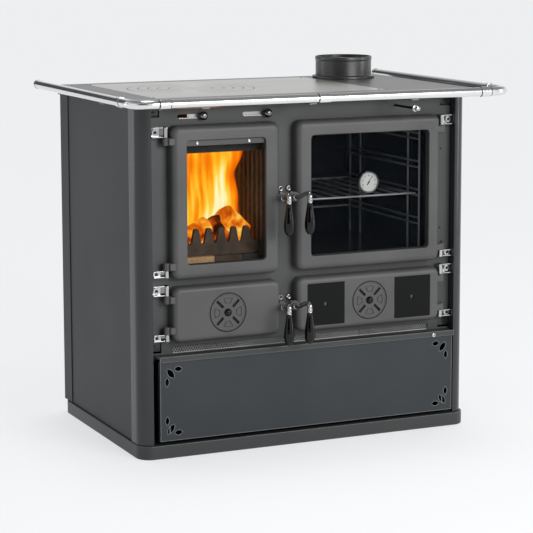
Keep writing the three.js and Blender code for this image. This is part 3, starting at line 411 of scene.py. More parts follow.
def curve_points(points, per=8):
    """A smooth line through the points."""
    pts = [points[0] * 2 - points[1]] + list(points) + [points[-1] * 2 - points[-2]]
    out = []
    for i in range(1, len(pts) - 2):
        for k in range(per):
            t = k / per
            a, b, c, d = pts[i - 1:i + 3]
            out.append(0.5 * (2 * b + (c - a) * t + (2 * a - 5 * b + 4 * c - d) * t * t
                              + (3 * b - 3 * c + d - a) * t ** 3))
    out.append(points[-1].copy())
    return out


def rounded_rect(x0, x1, z0, z1, r, steps=8):
    """Points of a rounded rectangle, anticlockwise."""
    out = []
    corners = ((x1 - r, z0 + r, -90), (x1 - r, z1 - r, 0), (x0 + r, z1 - r, 90), (x0 + r, z0 + r, 180))
    for cx, cz, start in corners:
        for k in range(steps + 1):
            a = radians(start + 90 * k / steps)
            out.append((cx + r * cos(a), cz + r * sin(a)))
    return out


def circle(x, z, r, steps=64):
    angles = [2 * pi * k / steps for k in range(steps)]
    return [(x + r * cos(a), z + r * sin(a)) for a in angles]


def offset(points, d):
    """An anticlockwise outline moved inwards by d."""
    out = []
    for i in range(len(points)):
        a, b, c = Vector(points[i - 1]), Vector(points[i]), Vector(points[(i + 1) % len(points)])
        e, f = (b - a), (c - b)
        mitre = Vector((-e.y, e.x)).normalized() + Vector((-f.y, f.x)).normalized()
        mitre = mitre / max(mitre.length_squared / 2, 0.5)
        out.append(tuple(b + mitre * d))
    return out


def roll(radius, steps=6):
    """Steps of a quarter round from the front face to the side: (inset, depth)."""
    angles = [radians(90 * k / steps) for k in range(steps + 1)]
    return [(radius * (1 - sin(a)), radius * (1 - cos(a))) for a in angles]


def relief(bm, outline, holes, y0, y1, edge, axis="y", back_edge=0.6):
    """A plate with a rolled rim. Each hole is (outline, [(offset into the material, depth)], floor)."""

    def place(points, depth):
        return [at(u, y0 + depth, v) if axis == "y" else at(u, v, y0 - depth) for u, v in points]

    thick = abs(y1 - y0)
    profile = roll(edge) + [(e, thick - d) for e, d in reversed(roll(back_edge, 2))]
    made = rings(bm, [place(offset(outline, e), d) for e, d in profile])
    front, back = [made[0]], [made[-1]]
    for points, steps, floor in holes:
        made = rings(bm, [place(offset(points, -e), d) for e, d in steps], cap_last=floor)
        front.append(made[0])
        if not floor:
            back.append(made[-1])
    fill_between(bm, front)
    fill_between(bm, back)


def block(bm, x0, x1, y0, y1, z0, z1, edge=0.8):
    """A small bar with rolled edges, added to a bmesh."""
    r = min(edge, (x1 - x0) / 3, (z1 - z0) / 3, (y1 - y0) / 3)
    outline = rounded_rect(x0, x1, z0, z1, r * 1.5, 3)
    loops = [[at(u, y0 + d, v) for u, v in offset(outline, e)] for e, d in roll(r, 3)]
    loops += [[at(u, y1 - d, v) for u, v in offset(outline, e)] for e, d in reversed(roll(r, 3))]
    rings(bm, loops, True, True)


def screw(name, x, y, z, radius, height, body, axis="y", mat=None, socket=True):
    """A small screw or bolt whose head stands in front of y (or above z)."""
    base = {"y": y, "z": z}[axis]
    way = {"y": -1, "z": 1}[axis]
    centre = {"y": (x, z), "z": (x, y)}[axis]
    profile = [(radius, 0), (radius, height * 0.55), (radius * 0.82, height)]
    if socket:
        profile += [(radius * 0.5, height), (radius * 0.5, height * 0.35), (0, height * 0.35)]
    else:
        profile += [(radius * 0.4, height * 1.12), (0, height * 1.15)]
    bm = bmesh.new()
    turn(bm, [(r, base + way * t) for r, t in fillet(profile, radius * 0.15, 2)], centre, axis, 20)
    piece(name, bm, mat or "chrome", body, None)


# ---- Casing


def casing():
    soften("plinth", 2.2, PLINTH, segments=3)
    for node in ("left_side_panel", "right_side_panel", "rear_casing"):
        soften(node, 1.2, SIDE)
    soften("facade", 0.7)
    soften("front_ledge", 0.8, LEDGE)
    soften("wood_drawer", 1.6, DRAWER)
    for node in ("front_left_column", "front_right_column"):
        soften(node, 0.6, COLUMN)
    soften("lower_chamber", 0.6)
    soften("fire_grate", 1.0)
    soften("ash_pan", 0.8)
    soften("oven_liner", 1.0)
    soften("firebox", 1.5)


def log_guard():
    """The toothed plate in front of the logs."""
    teeth, pitch, last_tooth = 6, 32.6, -143.9
    end_z, root_z, shoulder_z, tip_z = 505, 507, 538, 541
    valley_z = 503
    low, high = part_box("log_guard")
    x0, x1, z0 = low[0] * 1000, high[0] * 1000, low[2] * 1000
    outline = [(x0, z0), (x1, z0), (x1, end_z)]
    for k in range(teeth):
        x = last_tooth - k * pitch
        outline += [(x + 12.5, root_z), (x + 6.5, shoulder_z), (x + 3.5, tip_z)]
        outline += [(x - 3.5, tip_z), (x - 6.5, shoulder_z), (x - 12.5, root_z)]
        if k < teeth - 1:
            outline.append((x - pitch / 2, valley_z))
    outline.append((x0, end_z))
    bm = bmesh.new()
    relief(bm, outline, [], 56, 66, 1.3)
    piece("toothed_log_guard", bm, GUARD, "stove", "log_guard")


# ---- Doors


def is_low(d):
    """Whether the door is one of the two low ones, without a window."""
    return d["z0"] < 300


def window(door):
    """The window's outline and the depth of its glass."""
    d, w = DOORS[door], WINDOWS[door]
    outline = rounded_rect(d["x0"] + w["left"], d["x1"] - w["right"], d["z0"] + w["bottom"],
                           d["z1"] - w["top"], 9, 6)
    return outline, w["depth"]


def hinge_x(d):
    return d["x0"] - 10.75 if d["side"] < 0 else d["x1"] + 10.75


def shaft(d):
    """Where the handle's shaft passes the door, as (x, z)."""
    return (d["x1"] + 6 if d["side"] < 0 else d["x0"] - 6), d["z1"] - (66.7 if is_low(d) else 183.5)


def lug_heights(d):
    """The undersides of the upper and the lower lug."""
    top, bottom = (21, 21) if is_low(d) else (27.5, 23.5)
    return d["z1"] - top - LUG_HEIGHT, d["z0"] + bottom


def dial_centre(d):
    return (d["x0"] + d["x1"]) / 2, (d["z0"] + d["z1"]) / 2 - 1.6


def door_holes(door):
    """The door's window, or the recesses for its dial and tiles, as relief takes them."""
    if door in WINDOWS:
        outline, depth = window(door)
        return [(outline, roll(2.2, 4) + [(0, depth), (11.5, depth), (11.5, DOOR_DEPTH)], False)]
    x, z = dial_centre(DOORS[door])
    holes = [(circle(x, z, 48, 72), roll(0.8, 3) + [(0, 5.6)], True)]
    if door == "soot":
        for out in (-TILE_OUT, TILE_OUT):
            outline = rounded_rect(x + out - 50.55, x + out + 50.55, z - 52.3, z + 52.3, 2.5, 4)
            holes.append((outline, roll(0.6, 2) + [(0, 4.3)], True))
    return holes


def door_casting(door):
    """The door with its two hinge lugs and the boss for its handle."""
    d = DOORS[door]
    body = f"{door}_door"
    edge, node = (12.5, body) if is_low(d) else (15, f"{door}_door_frame")
    bm = bmesh.new()
    relief(bm, rounded_rect(d["x0"], d["x1"], d["z0"], d["z1"], 18, 10), door_holes(door), 0, DOOR_DEPTH,
           edge)
    piece(f"{door}_door_casting", bm, "door_iron", body, node)
    pin_x = hinge_x(d)
    for z, which in zip(lug_heights(d), ("upper", "lower")):
        bm = bmesh.new()
        eye = [(4.6, z), (9, z), (9, z + LUG_HEIGHT), (4.6, z + LUG_HEIGHT)]
        turn(bm, fillet(eye, 1.4), (pin_x, PIN_Y), "z", 32, True)
        x0, x1 = sorted((pin_x - d["side"] * 3, pin_x - d["side"] * 27))
        block(bm, x0, x1, 2.6, 25.7, z + 0.4, z + LUG_HEIGHT - 0.4, 2.4)
        piece(f"{door}_door_{which}_lug", bm, "door_iron", body, None)
    turned(f"{door}_door_boss", [(5.6, 3), (12, 3), (12, 16), (5.6, 16)], shaft(d), "door_iron",
           body, None, "y", 40, True, 1.6)


def door_glass(door):
    """The CAD pane with its own glass, and the seal round it."""
    pane = nodes[f"{door}_door_glass"].data
    pane.materials.clear()
    pane.materials.append(GLASS[door])
    outline, depth = window(door)
    path = [at(u, depth - 0.6, v) for u, v in offset(outline, 1.0)]
    bm = bmesh.new()
    sweep(bm, path + path[:2], 1.3, 8, False)
    piece(f"{door}_glass_seal", bm, GASKET, f"{door}_door")


def fire_glass_strip():
    """The strip over the fire window, its screws, and a dark sheet of painted shade behind it."""
    x0, x1, top, height, gap = -320.5, -116.5, 760.5, 13.6, 0.6
    bm = bmesh.new()
    relief(bm, rounded_rect(x0 + gap, x1 - gap, top - height, top - gap, 4, 4), [], 7.2, 10.6, 0.8)
    piece("fire_glass_strip", bm, "facade", "fire_door", "fire_glass_clip")
    for i, x in enumerate((-292, -158)):
        screw(f"fire_glass_screw_{i + 1}", x, 7.4, 754, 4.2, 2.4, "fire_door")
    # A near-black sheet behind the top of the fire window, painted shade for the dark top of the firebox.
    bm = bmesh.new()
    block(bm, -330, -110, 41, 44, 726, 772, 0.8)
    piece("fire_window_shade_sheet", bm, SHADOW, "stove")


def dial_slot(x, z, angle):
    """One of the dial's radial slots."""
    a = radians(angle)
    u, v = (cos(a), sin(a)), (-sin(a), cos(a))
    return [(x + u[0] * s + v[0] * t, z + u[1] * s + v[1] * t)
            for s, t in rounded_rect(17.5, 40.5, -3.4, 3.4, 1.2, 3)]


def dial_fan(x, z, angle):
    """The outline of the engraved field between two slots."""
    fan = []
    for r, first in ((21, 15), (36, -21)):
        for i in range(9):
            a = radians(angle) + radians(first - 2 * first * i / 8)
            fan.append((x + r * cos(a), z + r * sin(a)))
    return fan


def air_dial(door):
    """The turning disc with its knob, and the dark groove and openings behind it."""
    x, z = dial_centre(DOORS[door])
    disc_y, disc_depth = 0.2, 4.8

    def loop(outline, inset, depth):
        return [at(u, disc_y + depth, v) for u, v in offset(outline, inset)]

    bm = bmesh.new()
    rim = [(3.4, 0.0), (3.0, -0.5), (2.2, -0.7), (1.0, -0.5), (0, 0.6), (0, disc_depth)]
    made = rings(bm, [loop(circle(x, z, 45.7, 96), inset, depth) for inset, depth in rim])
    front, back, islands = [made[0]], [made[-1]], []
    slot_steps = roll(0.5, 2) + [(0, disc_depth)]
    groove_steps = [(0, 0), (0.0, 1.9), (-2.0, 1.9), (-2.1, 0.0)]
    for k in range(4):
        made = rings(bm, [loop(dial_slot(x, z, 45 + 90 * k), -out, depth) for out, depth in slot_steps])
        front.append(made[0])
        back.append(made[-1])
        made = rings(bm, [loop(dial_fan(x, z, 90 * k), -out, depth) for out, depth in groove_steps])
        front.append(made[0])
        islands.append(made[-1])
    for group in [front, back] + [[island] for island in islands]:
        fill_between(bm, group)
    piece(f"{door}_dial_disc", bm, "door_iron", f"{door}_dial", f"{door}_door_dial")
    knob = [(0, -8), (5, -7.2), (8.2, -4.4), (9.4, -0.8), (9.4, 0.6), (3.4, 0.6), (3.4, 13), (0, 13)]
    turned(f"{door}_dial_knob", knob, (x, z), BOLT, f"{door}_dial", None, "y", 40, False, 1.2)
    groove = [(47.7, 1.0), (47.7, 5.3), (46.0, 5.3), (46.0, 1.0)]
    turned(f"{door}_dial_groove", groove, (x, z), SHADOW, f"{door}_door", None, "y", 96, True)
    bm = bmesh.new()
    rod(bm, 45, 5.2, 5.5, (x, z), "y", 48)
    piece(f"{door}_dial_shadow", bm, SHADOW, f"{door}_door")


def soot_tile(which, out):
    x, z = dial_centre(DOORS["soot"])
    outline = rounded_rect(x + out - 50.1, x + out + 50.1, z - 51.9, z + 51.9, 2, 4)
    screw_hole = (circle(x + out, z, 5, 32), roll(0.8, 3) + [(0, 4)], False)
    bm = bmesh.new()
    relief(bm, outline, [screw_hole], 0.1, 4.1, 0.6)
    piece(f"soot_tile_{which}", bm, "tile", "soot_door", f"soot_door_tile_{which}")


# ---- Hinges and handles


def hinge(door, which, lug):
    """A bracket with its pin over or under the door's lug, and its bolt."""
    d = DOORS[door]
    x, side, play = hinge_x(d), d["side"], 0.3
    above = which == "upper"
    z0 = lug + LUG_HEIGHT + play if above else lug - play - 17
    z1 = z0 + 25 if above else lug - play
    x0, x1 = (x - 34, x + 6) if side < 0 else (x - 6, x + 34)
    bm = bmesh.new()
    block(bm, x0, x1, 30.7, DOOR_DEPTH, z0, z1, 0.9)
    for z in (z0, z1 - 3):
        block(bm, x0, x1, PIN_Y, 33, z, z + 3, 0.8)
    rod(bm, 6, z0, z1, (x, PIN_Y), "z", 28, 1.0)
    pin = (z0 - 10, z1) if above else (z0, z1 + 10)
    rod(bm, 4, *pin, (x, PIN_Y), "z", 20)
    block(bm, x - 6, x + 6, PIN_Y, 31, z0, z1, 0.9)
    piece(f"{door}_hinge_{which}_bracket", bm, "chrome", "stove", f"{door}_hinge_{which}")
    bolt = (x + side * 24, (z0 + z1) / 2)
    head = [(0, 24.4), (4.2, 24.4), (4.2, 23.7), (8.2, 23.7), (8.5, 25), (8.5, 30.9), (0, 30.9)]
    turned(f"{door}_hinge_{which}_bolt", head, bolt, "chrome", "stove", None, "y", 28, False, 0.5)
    # The dark hexagon in the bolt's socket is painted shade for the depth of the socket.
    socket = [(0, 23.5), (3.9, 23.5), (4.1, 24.6), (0, 24.6)]
    turned(f"{door}_hinge_{which}_socket", socket, bolt, BOLT, "stove", None, "y", 6)


def handle(door):
    """The bent neck with its shaft and latch tongue, the grip, and the keeper's stud."""
    d = DOORS[door]
    x, z = shaft(d)
    side, body = d["side"], f"{door}_handle"
    grip_x, grip_y, grip_radius, grip_length = x + side * 11, -58.6, 13, 76
    bm = bmesh.new()
    rod(bm, 5, -5.5, 21, (x, z), "y", 24, 0.8)
    turn(bm, fillet([(4, -9), (8, -6), (8.3, -2), (7.6, 2.5), (4, 2.7)], 1.5), (x, z), "y", 32)
    x0, x1 = sorted((x, x - side * 14))
    block(bm, x0, x1, 17.2, 20.8, z - 4, z + 4, 0.8)
    path = curve_points([at(x, -2, z), at(x + side * 1.1, -16, z + 1), at(x + side * 6, -34, z + 8.4),
                         at(x + side * 10.4, -50, z + 14), at(grip_x, grip_y, z + 8),
                         at(grip_x, grip_y, z - 2)])
    radii = [5.5 + 0.9 * exp(-((i / (len(path) - 1)) / 0.16) ** 2) for i in range(len(path))]
    sweep(bm, path, radii, 22)
    collar = [(0, z + 3), (5.4, z + 3), (6.5, z + 1), (6.5, z - 5), (5.6, z - 6.5), (6.3, z - 8), (0, z - 8)]
    turn(bm, fillet(collar, 0.8), (grip_x, grip_y), "z", 32)
    piece(f"{door}_handle_neck", bm, "chrome", body, f"{door}_handle_arm")
    foot = z - 8.3 - grip_length
    pear = [(0, 0), (0.3, 0.004), (0.52, 0.03), (0.8, 0.1), (0.95, 0.19), (1, 0.29), (0.98, 0.4),
            (0.9, 0.53), (0.78, 0.66), (0.66, 0.79), (0.58, 0.9), (0.56, 0.97), (0.45, 1), (0, 1)]
    turned(f"{door}_handle_knob", [(grip_radius * r, foot + grip_length * t) for r, t in pear],
           (grip_x, grip_y), "grip", body, f"{door}_handle_grip", "z", 48, False, 0.6, 60)
    stud = [(2, 33.9), (7.4, 33.9), (7.4, 30.5), (6, 28.2), (4.2, 28.2), (4.2, 30), (2, 30)]
    turned(f"{door}_keeper_stud", stud, (-64 if side < 0 else -42.4, z + 18), "chrome", "stove",
           None, "y", 32, True, 0.6)


# ---- Worktop


def worktop_plate():
    flue_hole = (circle(*FLUE, FLUE_BORE, 64), roll(0.5, 2) + [(0, 10)], False)
    well = (rounded_rect(*WELL, 1, 3), roll(0.5, 3) + [(0, 7), (-12, 7), (-12, 10)], False)
    bm = bmesh.new()
    relief(bm, rounded_rect(-453, 453, -20, 552, 3, 5), [well, flue_hole], TOP_Z, TOP_Z - 10, 1.2, "z")
    piece("worktop_plate", bm, TRIM, "stove", "worktop_frame")


def hob_plate():
    """The plate in the well of the worktop, and the dark seam round it."""
    x0, x1, y0, y1 = WELL
    gap = 1.8
    hole = (circle(*HOB, RING_RADII[0], 160), roll(0.6, 3) + [(0, 3.2), (-4, 3.2), (-4, 6.6)], False)
    bm = bmesh.new()
    relief(bm, rounded_rect(x0 + gap, x1 - gap, y0 + gap, y1 - gap, 1, 3), [hole], TOP_Z, 853.4, 0.6, "z",
           0.3)
    piece("hob_plate_top", bm, "steel_top", "stove", "hob_plate")
    bm = bmesh.new()
    for seam in ((x0 + 0.1, x0 + 1.7, y0, y1), (x1 - 1.7, x1 - 0.1, y0, y1),
                 (x0 + 2, x1 - 2, y0 + 0.1, y0 + 1.7), (x0 + 2, x1 - 2, y1 - 1.7, y1 - 0.1)):
        block(bm, *seam, 857, 859.7, 0.2)
    piece("hob_plate_seam", bm, SHADOW, "stove")


def hob_rings():
    """The four rings and the lid, each on its step, with the seam round it."""
    for i, r in enumerate(RING_RADII):
        body = "lid" if i == 4 else f"ring_{i + 1}"
        seam = [(r - 1.8, 857.2), (r - 0.2, 857.2), (r - 0.2, 859.7), (r - 1.8, 859.7)]
        turned(f"hob_seam_{i + 1}", seam, HOB, SHADOW, body, None, "z", 128, True)
        out, step = r - 1.9, r - 4.3
        rim = [(out, 860), (out, 857), (step, 857), (step, 853.3)]
        if body == "lid":
            profile = [(0, 859.6), (7, 859.6), (7.6, 860)] + rim + [(0, 853.3)]
            turned("hob_lid_plate", profile, HOB, "steel_top", body, "hob_lid", "z",
                   160, False, 0.6)
            continue
        bore = RING_RADII[i + 1]
        profile = [(bore, 856.8), (bore, 860)] + rim + [(bore - 4, 853.3), (bore - 4, 856.8)]
        turned(f"hob_ring_{i + 1}_plate", fillet_closed(profile, 0.6), HOB, "steel_top", body,
               f"hob_ring_{i + 1}", "z", 160, True)


def hob_screws():
    for i, (x, y) in enumerate(((-380, 60), (217, 58), (-380, 505), (217, 505))):
        screw(f"hob_screw_{i + 1}", x, y, TOP_Z - 0.2, 3.2, 0.9, "stove", "z", BOLT, True)


def flue_collar():
    wall, flange, bead = 74.5, 83, 75.6
    profile = [(FLUE_BORE, 860.3), (flange, 860.3), (flange, 866.3), (77, 866.9), (wall, 869), (wall, 907),
               (bead, 909.5), (bead, 916), (wall, 918), (FLUE_BORE, 918), (FLUE_BORE, 912)]
    turned("flue_collar_casting", fillet_closed(profile, 1.1), FLUE, FLUE_IRON, "stove", "flue_collar",
           "z", 128, True)


# ---- Towel rail


def bar_x(bm, x0, x1, r, edge=1.2):
    rod(bm, r, x0, x1, (RAIL_Y, RAIL_Z), "x", 40, edge, 3)


def rail_front():
    bm = bmesh.new()
    bar_x(bm, -RAIL_END, RAIL_END, RAIL_RADIUS)
    for x0, x1 in ((-RAIL_END, -408), (408, RAIL_END), (-32, -3)):
        bar_x(bm, x0, x1, 12.5, 0.8)
    piece("rail_front_bar", bm, RAIL, "stove", "rail_front")


def rail_stays():
    half, z0, z1 = 10, 844.7, 849.7
    bm = bmesh.new()
    for x in (-318, -45, 228):
        block(bm, x - half, x + half, -111, 4, z0, z1, 0.9)
    for side in (-1, 1):
        for y in (120, 430):
            x0, x1 = sorted((side * 441.3, side * RAIL_X))
            block(bm, x0, x1, y - half, y + half, z0, z1, 0.9)
    piece("rail_stays", bm, TRIM, "stove", None)


def rail_joint_lines():
    """The dark lines where the rail's tubes and sleeves meet."""
    radius = 11.25
    bm = bmesh.new()
    for x in (-RAIL_END - 1.4, -407.4, 407.4, RAIL_END + 1.4, -33.4):
        bar_x(bm, x - 1.2, x + 1.2, radius, 0.2)
    for side in (-1, 1):
        for y in (-23.6, -3.2, 592):
            rod(bm, radius, y - 1, y + 1, (side * RAIL_X, RAIL_Z), "y", 40, 0.2, 2)
    piece("rail_joint_lines", bm, SHADOW, "stove")


def rail_side(side, name):
    """A side bar with its elbow, sleeve and end cap."""
    x = side * RAIL_X
    corner = [at(x - side * RAIL_BEND, RAIL_Y, RAIL_Z), at(x, RAIL_Y, RAIL_Z),
              at(x, RAIL_Y + RAIL_BEND, RAIL_Z)]
    path = [at(x - side * 56, RAIL_Y, RAIL_Z)]
    for k in range(21):
        t = k / 20
        path.append(corner[0] * (1 - t) ** 2 + corner[1] * 2 * t * (1 - t) + corner[2] * t * t)
    path += [at(x, -45, RAIL_Z), at(x, -21, RAIL_Z)]
    bm = bmesh.new()
    sweep(bm, path, RAIL_RADIUS, 40)
    bar = [(0, -23), (11, -23), (11, 591), (10, 591), (10, 593), (11.75, 593), (11.75, 600), (0, 600)]
    turn(bm, fillet(bar, 0.9, 3), (x, RAIL_Z), "y", 40)
    rod(bm, 12.5, -23, -4, (x, RAIL_Z), "y", 40, 0.8, 3)
    piece(f"rail_{name}_bar", bm, RAIL, "stove", f"rail_{name}")


# ---- Controls and small parts of the front


def air_lever(name, x):
    """A lever's knob, the slide that shows in its slot, and the slot's lip."""
    bm = bmesh.new()
    rod(bm, 3, 26, 41, (x, LEVER_Z), "y", 20)
    knob = [(0, 14.6), (5, 15.4), (9.6, 19.6), (11, 24), (9.4, 27), (6, 29), (5.4, 31.7), (0, 31.7)]
    turn(bm, fillet(knob, 1.5, 4), (x, LEVER_Z), "y", 40)
    piece(f"{name}_lever_knob", bm, DARK_CHROME, f"{name}_lever", f"{name}_air_lever")
    # The primary slide stays clear of the column's tab, and the two slides pass each other.
    left, y = (36, 38.3) if name == "primary" else (66, 39.4)
    bm = bmesh.new()
    block(bm, x - left, x + 62, y, y + 0.8, 808.6, 823.4, 0.3)
    piece(f"{name}_lever_slide", bm, LEVER, f"{name}_lever", None)
    bm = bmesh.new()
    block(bm, x - 60, x + 3, 33.0, 34.6, 809.4, 812.2, 0.6)
    piece(f"{name}_slot_lip", bm, "chrome", "stove", None)


def bypass_rod():
    knob = [(0, -87), (4.4, -85.6), (6.5, -82.6), (7, -80), (6.5, -77), (4.5, -74), (4, -72), (5.5, -71.4),
            (8.5, -70.4), (8.5, -67), (5, -64), (3.2, -61), (0, -61)]
    turned("bypass_rod_knob", knob, BYPASS, "chrome", "bypass", "bypass_rod", "y", 32,
           False, 0.9, 50)
    turned("bypass_rod_shaft", [(0, -62), (3, -62), (3, 59), (0, 59)], BYPASS, BOLT, "bypass", None,
           "y", 24, False, 0.4)


def air_grille():
    """Woven wires behind the long opening."""
    pitch, half, lean_x, lean_y, y = 6.5, 355, 5, 0.25, 38.9
    bm = bmesh.new()
    for i in range(int(2 * half / pitch)):
        x = -half + (i + 0.5) * pitch
        for lean in (-1, 1):
            wire_y = y + lean_y * lean
            sweep(bm, [at(x - lean * lean_x, wire_y, 247.8), at(x + lean * lean_x, wire_y, 263.2)], 0.55,
                  5, False)
    for z in (247.9, 263.1):
        block(bm, -359, 359, 38.4, 39.4, z - 0.8, z + 0.8, 0.3)
    piece("air_grille_mesh", bm, MESH, "stove", "vent_grille", weighted=False)


def notch_shade_plates():
    """The dark plates of painted shade behind the facade's upper corner notches."""
    bm = bmesh.new()
    for x0, x1 in ((-406, -380), (380, 406)):
        block(bm, x0, x1, 38.5, 39.6, 804, 846, 0.3)
    piece("notch_shade_plates", bm, SHADOW, "stove")


def front_fixings():
    """The small screws of the front and the rail's bolts."""
    places = [(x, FACADE_Y, z, 2.4) for x, z in ((380, 707), (379, 507), (385, 471), (386, 311))]
    places += [(x, 38.6, z, 3.2) for x, z in ((-391, 827), (391, 827), (-394, 268), (394, 268))]
    for i, (x, y, z, radius) in enumerate(places):
        screw(f"front_screw_{i + 1}", x, y, z, radius, 1.6, "stove", "y", BOLT, True)
    screw("ledge_ring_screw", 339, -12.6, 242, 5.5, 3, "stove")
    for i, x in enumerate((-16, 284)):
        screw(f"rail_bolt_{i + 1}", x, FACADE_Y, 838, 4.2, 3, "stove", "y", None, False)


# ---- Oven


def oven_racks():
    """Uprights and double runners on both walls, joined across the back."""
    left, right, front, back = -6, 335, 68.3, 453
    runner, runner_step, runner_gap = 515, 71.6, 15
    bm = bmesh.new()
    for x, upright_x in ((left, left - 3.75), (right, right + 3.75)):
        for y in (front, 128, 393, back):
            rod(bm, WIRE, 447.7, 750.8, (upright_x, y), "z", 14)
        for k in range(4):
            for z in (runner + k * runner_step, runner + k * runner_step + runner_gap):
                rod(bm, WIRE, front, back, (x, z), "y", 14)
    for z in (runner, 744.8):
        rod(bm, WIRE, left, right, (back, z), "x", 14)
    piece("oven_side_racks", bm, RACK_WIRE, "stove", "oven_rack")


def oven_shelf():
    front, back, z, wires, first, span = 80, 446.5, 591.9, 9, 3, 323
    bm = bmesh.new()
    for y in (front, back):
        rod(bm, WIRE, -6, 335, (y, z), "x", 14)
    for i in range(wires):
        rod(bm, WIRE, front, back, (first + i * (span / (wires - 1)), z), "y", 14)
    piece("oven_wire_shelf", bm, RACK_WIRE, "oven_shelf", "oven_shelf")


def dial_mark(bm, angle, corners, y0, y1):
    """A flat mark on the thermometer, drawn along its radius and turned to the angle."""
    a = radians(angle)
    u, v = Vector((cos(a), sin(a))), Vector((-sin(a), cos(a)))
    x, z = THERMOMETER
    outline = [(x + u.x * s + v.x * t, z + u.y * s + v.y * t) for s, t in corners]
    rings(bm, [[at(p, y, q) for p, q in outline] for y in (y0, y1)], True, True)


def thermometer():
    case = [(0, 38), (26.5, 38), (28, 36), (28, 23.4), (26.4, 21.6), (23.4, 21.6), (23, 23.2), (0, 23.2)]
    bm = bmesh.new()
    turn(bm, fillet(case, 0.7, 3), THERMOMETER, "y", 72)
    piece("thermometer_case", bm, DARK_CHROME, "oven_door", "oven_thermometer")
    bm = bmesh.new()
    rod(bm, 22.9, 22.6, 23.4, THERMOMETER, "y", 64)
    piece("thermometer_dial", bm, "dial_white", "oven_door", None)
    bm = bmesh.new()
    for k in range(-7, 8):
        half, start = (0.55, 17) if k % 2 else (0.95, 15)
        tick = ((start, -half), (20.6, -half), (20.6, half), (start, half))
        dial_mark(bm, 90 + k * 18, tick, 22.35, 22.7)
    dial_mark(bm, 58, ((-8, -1.4), (17.5, -0.4), (17.5, 0.4), (-8, 1.4)), 22.1, 22.5)
    turn(bm, fillet([(0, 21.7), (2.2, 21.7), (2.6, 22.6), (0, 22.6)], 0.4, 2), THERMOMETER, "y", 24)
    piece("thermometer_marks", bm, BOLT, "oven_door")


# ---- Fire


def paint_heat(obj, value):
    """Stores the heat of each vertex for the glow."""
    layer = obj.data.attributes.new("ember_level", "FLOAT", "POINT")
    for v in obj.data.vertices:
        layer.data[v.index].value = value(v.co.x * 1000, v.co.y * 1000 - SHIFT_Y, v.co.z * 1000)


def wood_heat(base):
    """Heat in patches about the base."""
    def value(x, y, z):
        patches = noise.noise(Vector((x / 26, y / 60, z / 22)))
        patches += 0.5 * noise.noise(Vector((x / 9, y / 30, z / 8)))
        return max(0.0, min(1.0, base + 0.5 * patches))
    return value


def log(name, a, b, radius, seed, heat):
    """A split log: a rough six-sided billet with narrowed ends."""
    rnd = random.Random(seed)
    axis = (b - a).normalized()
    side = axis.orthogonal().normalized()
    up = axis.cross(side)
    sides, around, along = 6, 30, 24
    corners = [rnd.uniform(0.72, 1.15) for _ in range(sides)]
    loops = []
    for i in range(along + 1):
        t = i / along
        loop = []
        for k in range(around):
            angle = 2 * pi * k / around
            f = k / around * sides
            corner = corners[int(f) % sides] * (1 - f % 1) + corners[(int(f) + 1) % sides] * (f % 1)
            q = side * cos(angle) + up * sin(angle)
            rough = 1 + 0.10 * noise.noise(Vector((q.x * 3, q.y * 3 + t * 3, seed + q.z * 3)))
            rough += 0.05 * noise.noise(q * 9 + Vector((t * 20, seed, 0)))
            end = 1 - 0.25 * max(0, abs(t - 0.5) * 2 - 0.92) / 0.08
            loop.append(a.lerp(b, t) + q * radius / 1000 * corner * rough * end)
        loops.append(loop)
    bm = bmesh.new()
    rings(bm, loops, True, True)
    paint_heat(piece(name, bm, EMBER, "stove", None, 60, False), heat)


def logs():
    log("fire_log_left", at(-330, 92, 492), at(-226, 98, 543), 28, 3, wood_heat(0.56))
    log("fire_log_right", at(-196, 100, 568), at(-134, 108, 510), 29, 8, wood_heat(0.66))
    log("fire_log_dark", at(-221, 94, 556), at(-186, 98, 500), 21, 5, wood_heat(0.26))
    log("fire_log_back", at(-312, 250, 505), at(-128, 258, 500), 36, 12, wood_heat(0.45))


def bed_of_coals():
    rnd = random.Random(4)
    bed_z = 469
    bm = bmesh.new()
    for k in range(70):
        cx, cy, r = rnd.uniform(-318, -122), rnd.uniform(76, 300), rnd.uniform(7, 15)
        centre = at(cx, cy, bed_z + r * 0.55 + rnd.uniform(0, 10))
        made = bmesh.ops.create_icosphere(bm, subdivisions=2, radius=r / 1000)
        for v in made["verts"]:
            v.co *= 1 + 0.35 * noise.noise(v.co * 90 + Vector((k, 0, 0)))
            v.co.z *= 0.7
            v.co += centre
    coals = piece("fire_bed_of_coals", bm, EMBER, "stove", None, 50, False)
    paint_heat(coals, wood_heat(0.6))


def eased(points, t):
    """A place along evenly spaced values, with a soft pass from one to the next."""
    f = t * (len(points) - 1)
    i = min(int(f), len(points) - 2)
    g = f - i
    g = g * g * (3 - 2 * g)
    return points[i] * (1 - g) + points[i + 1] * g


def flame_heat(x, z, s, t, gain, seed):
    """Heat at the share s of the curtain's width and t of its height."""
    streak = noise.noise(Vector((x / 13 + t * 0.6, seed + 5, z / 120)))
    streak += 0.6 * noise.noise(Vector((x / 6, seed, z / 60)))
    rim = min(s / 0.16, (1 - s) / 0.2, 1.0)
    core = exp(-((s - 0.5 - 0.3 * min(t * 2, 1)) / 0.17) ** 2) * exp(-((t - 0.36) / 0.36) ** 2)
    return max(0.0, min(1.0, gain * (0.56 + 0.4 * core + 0.26 * streak - 0.12 * t) * (rim ** 0.5)))


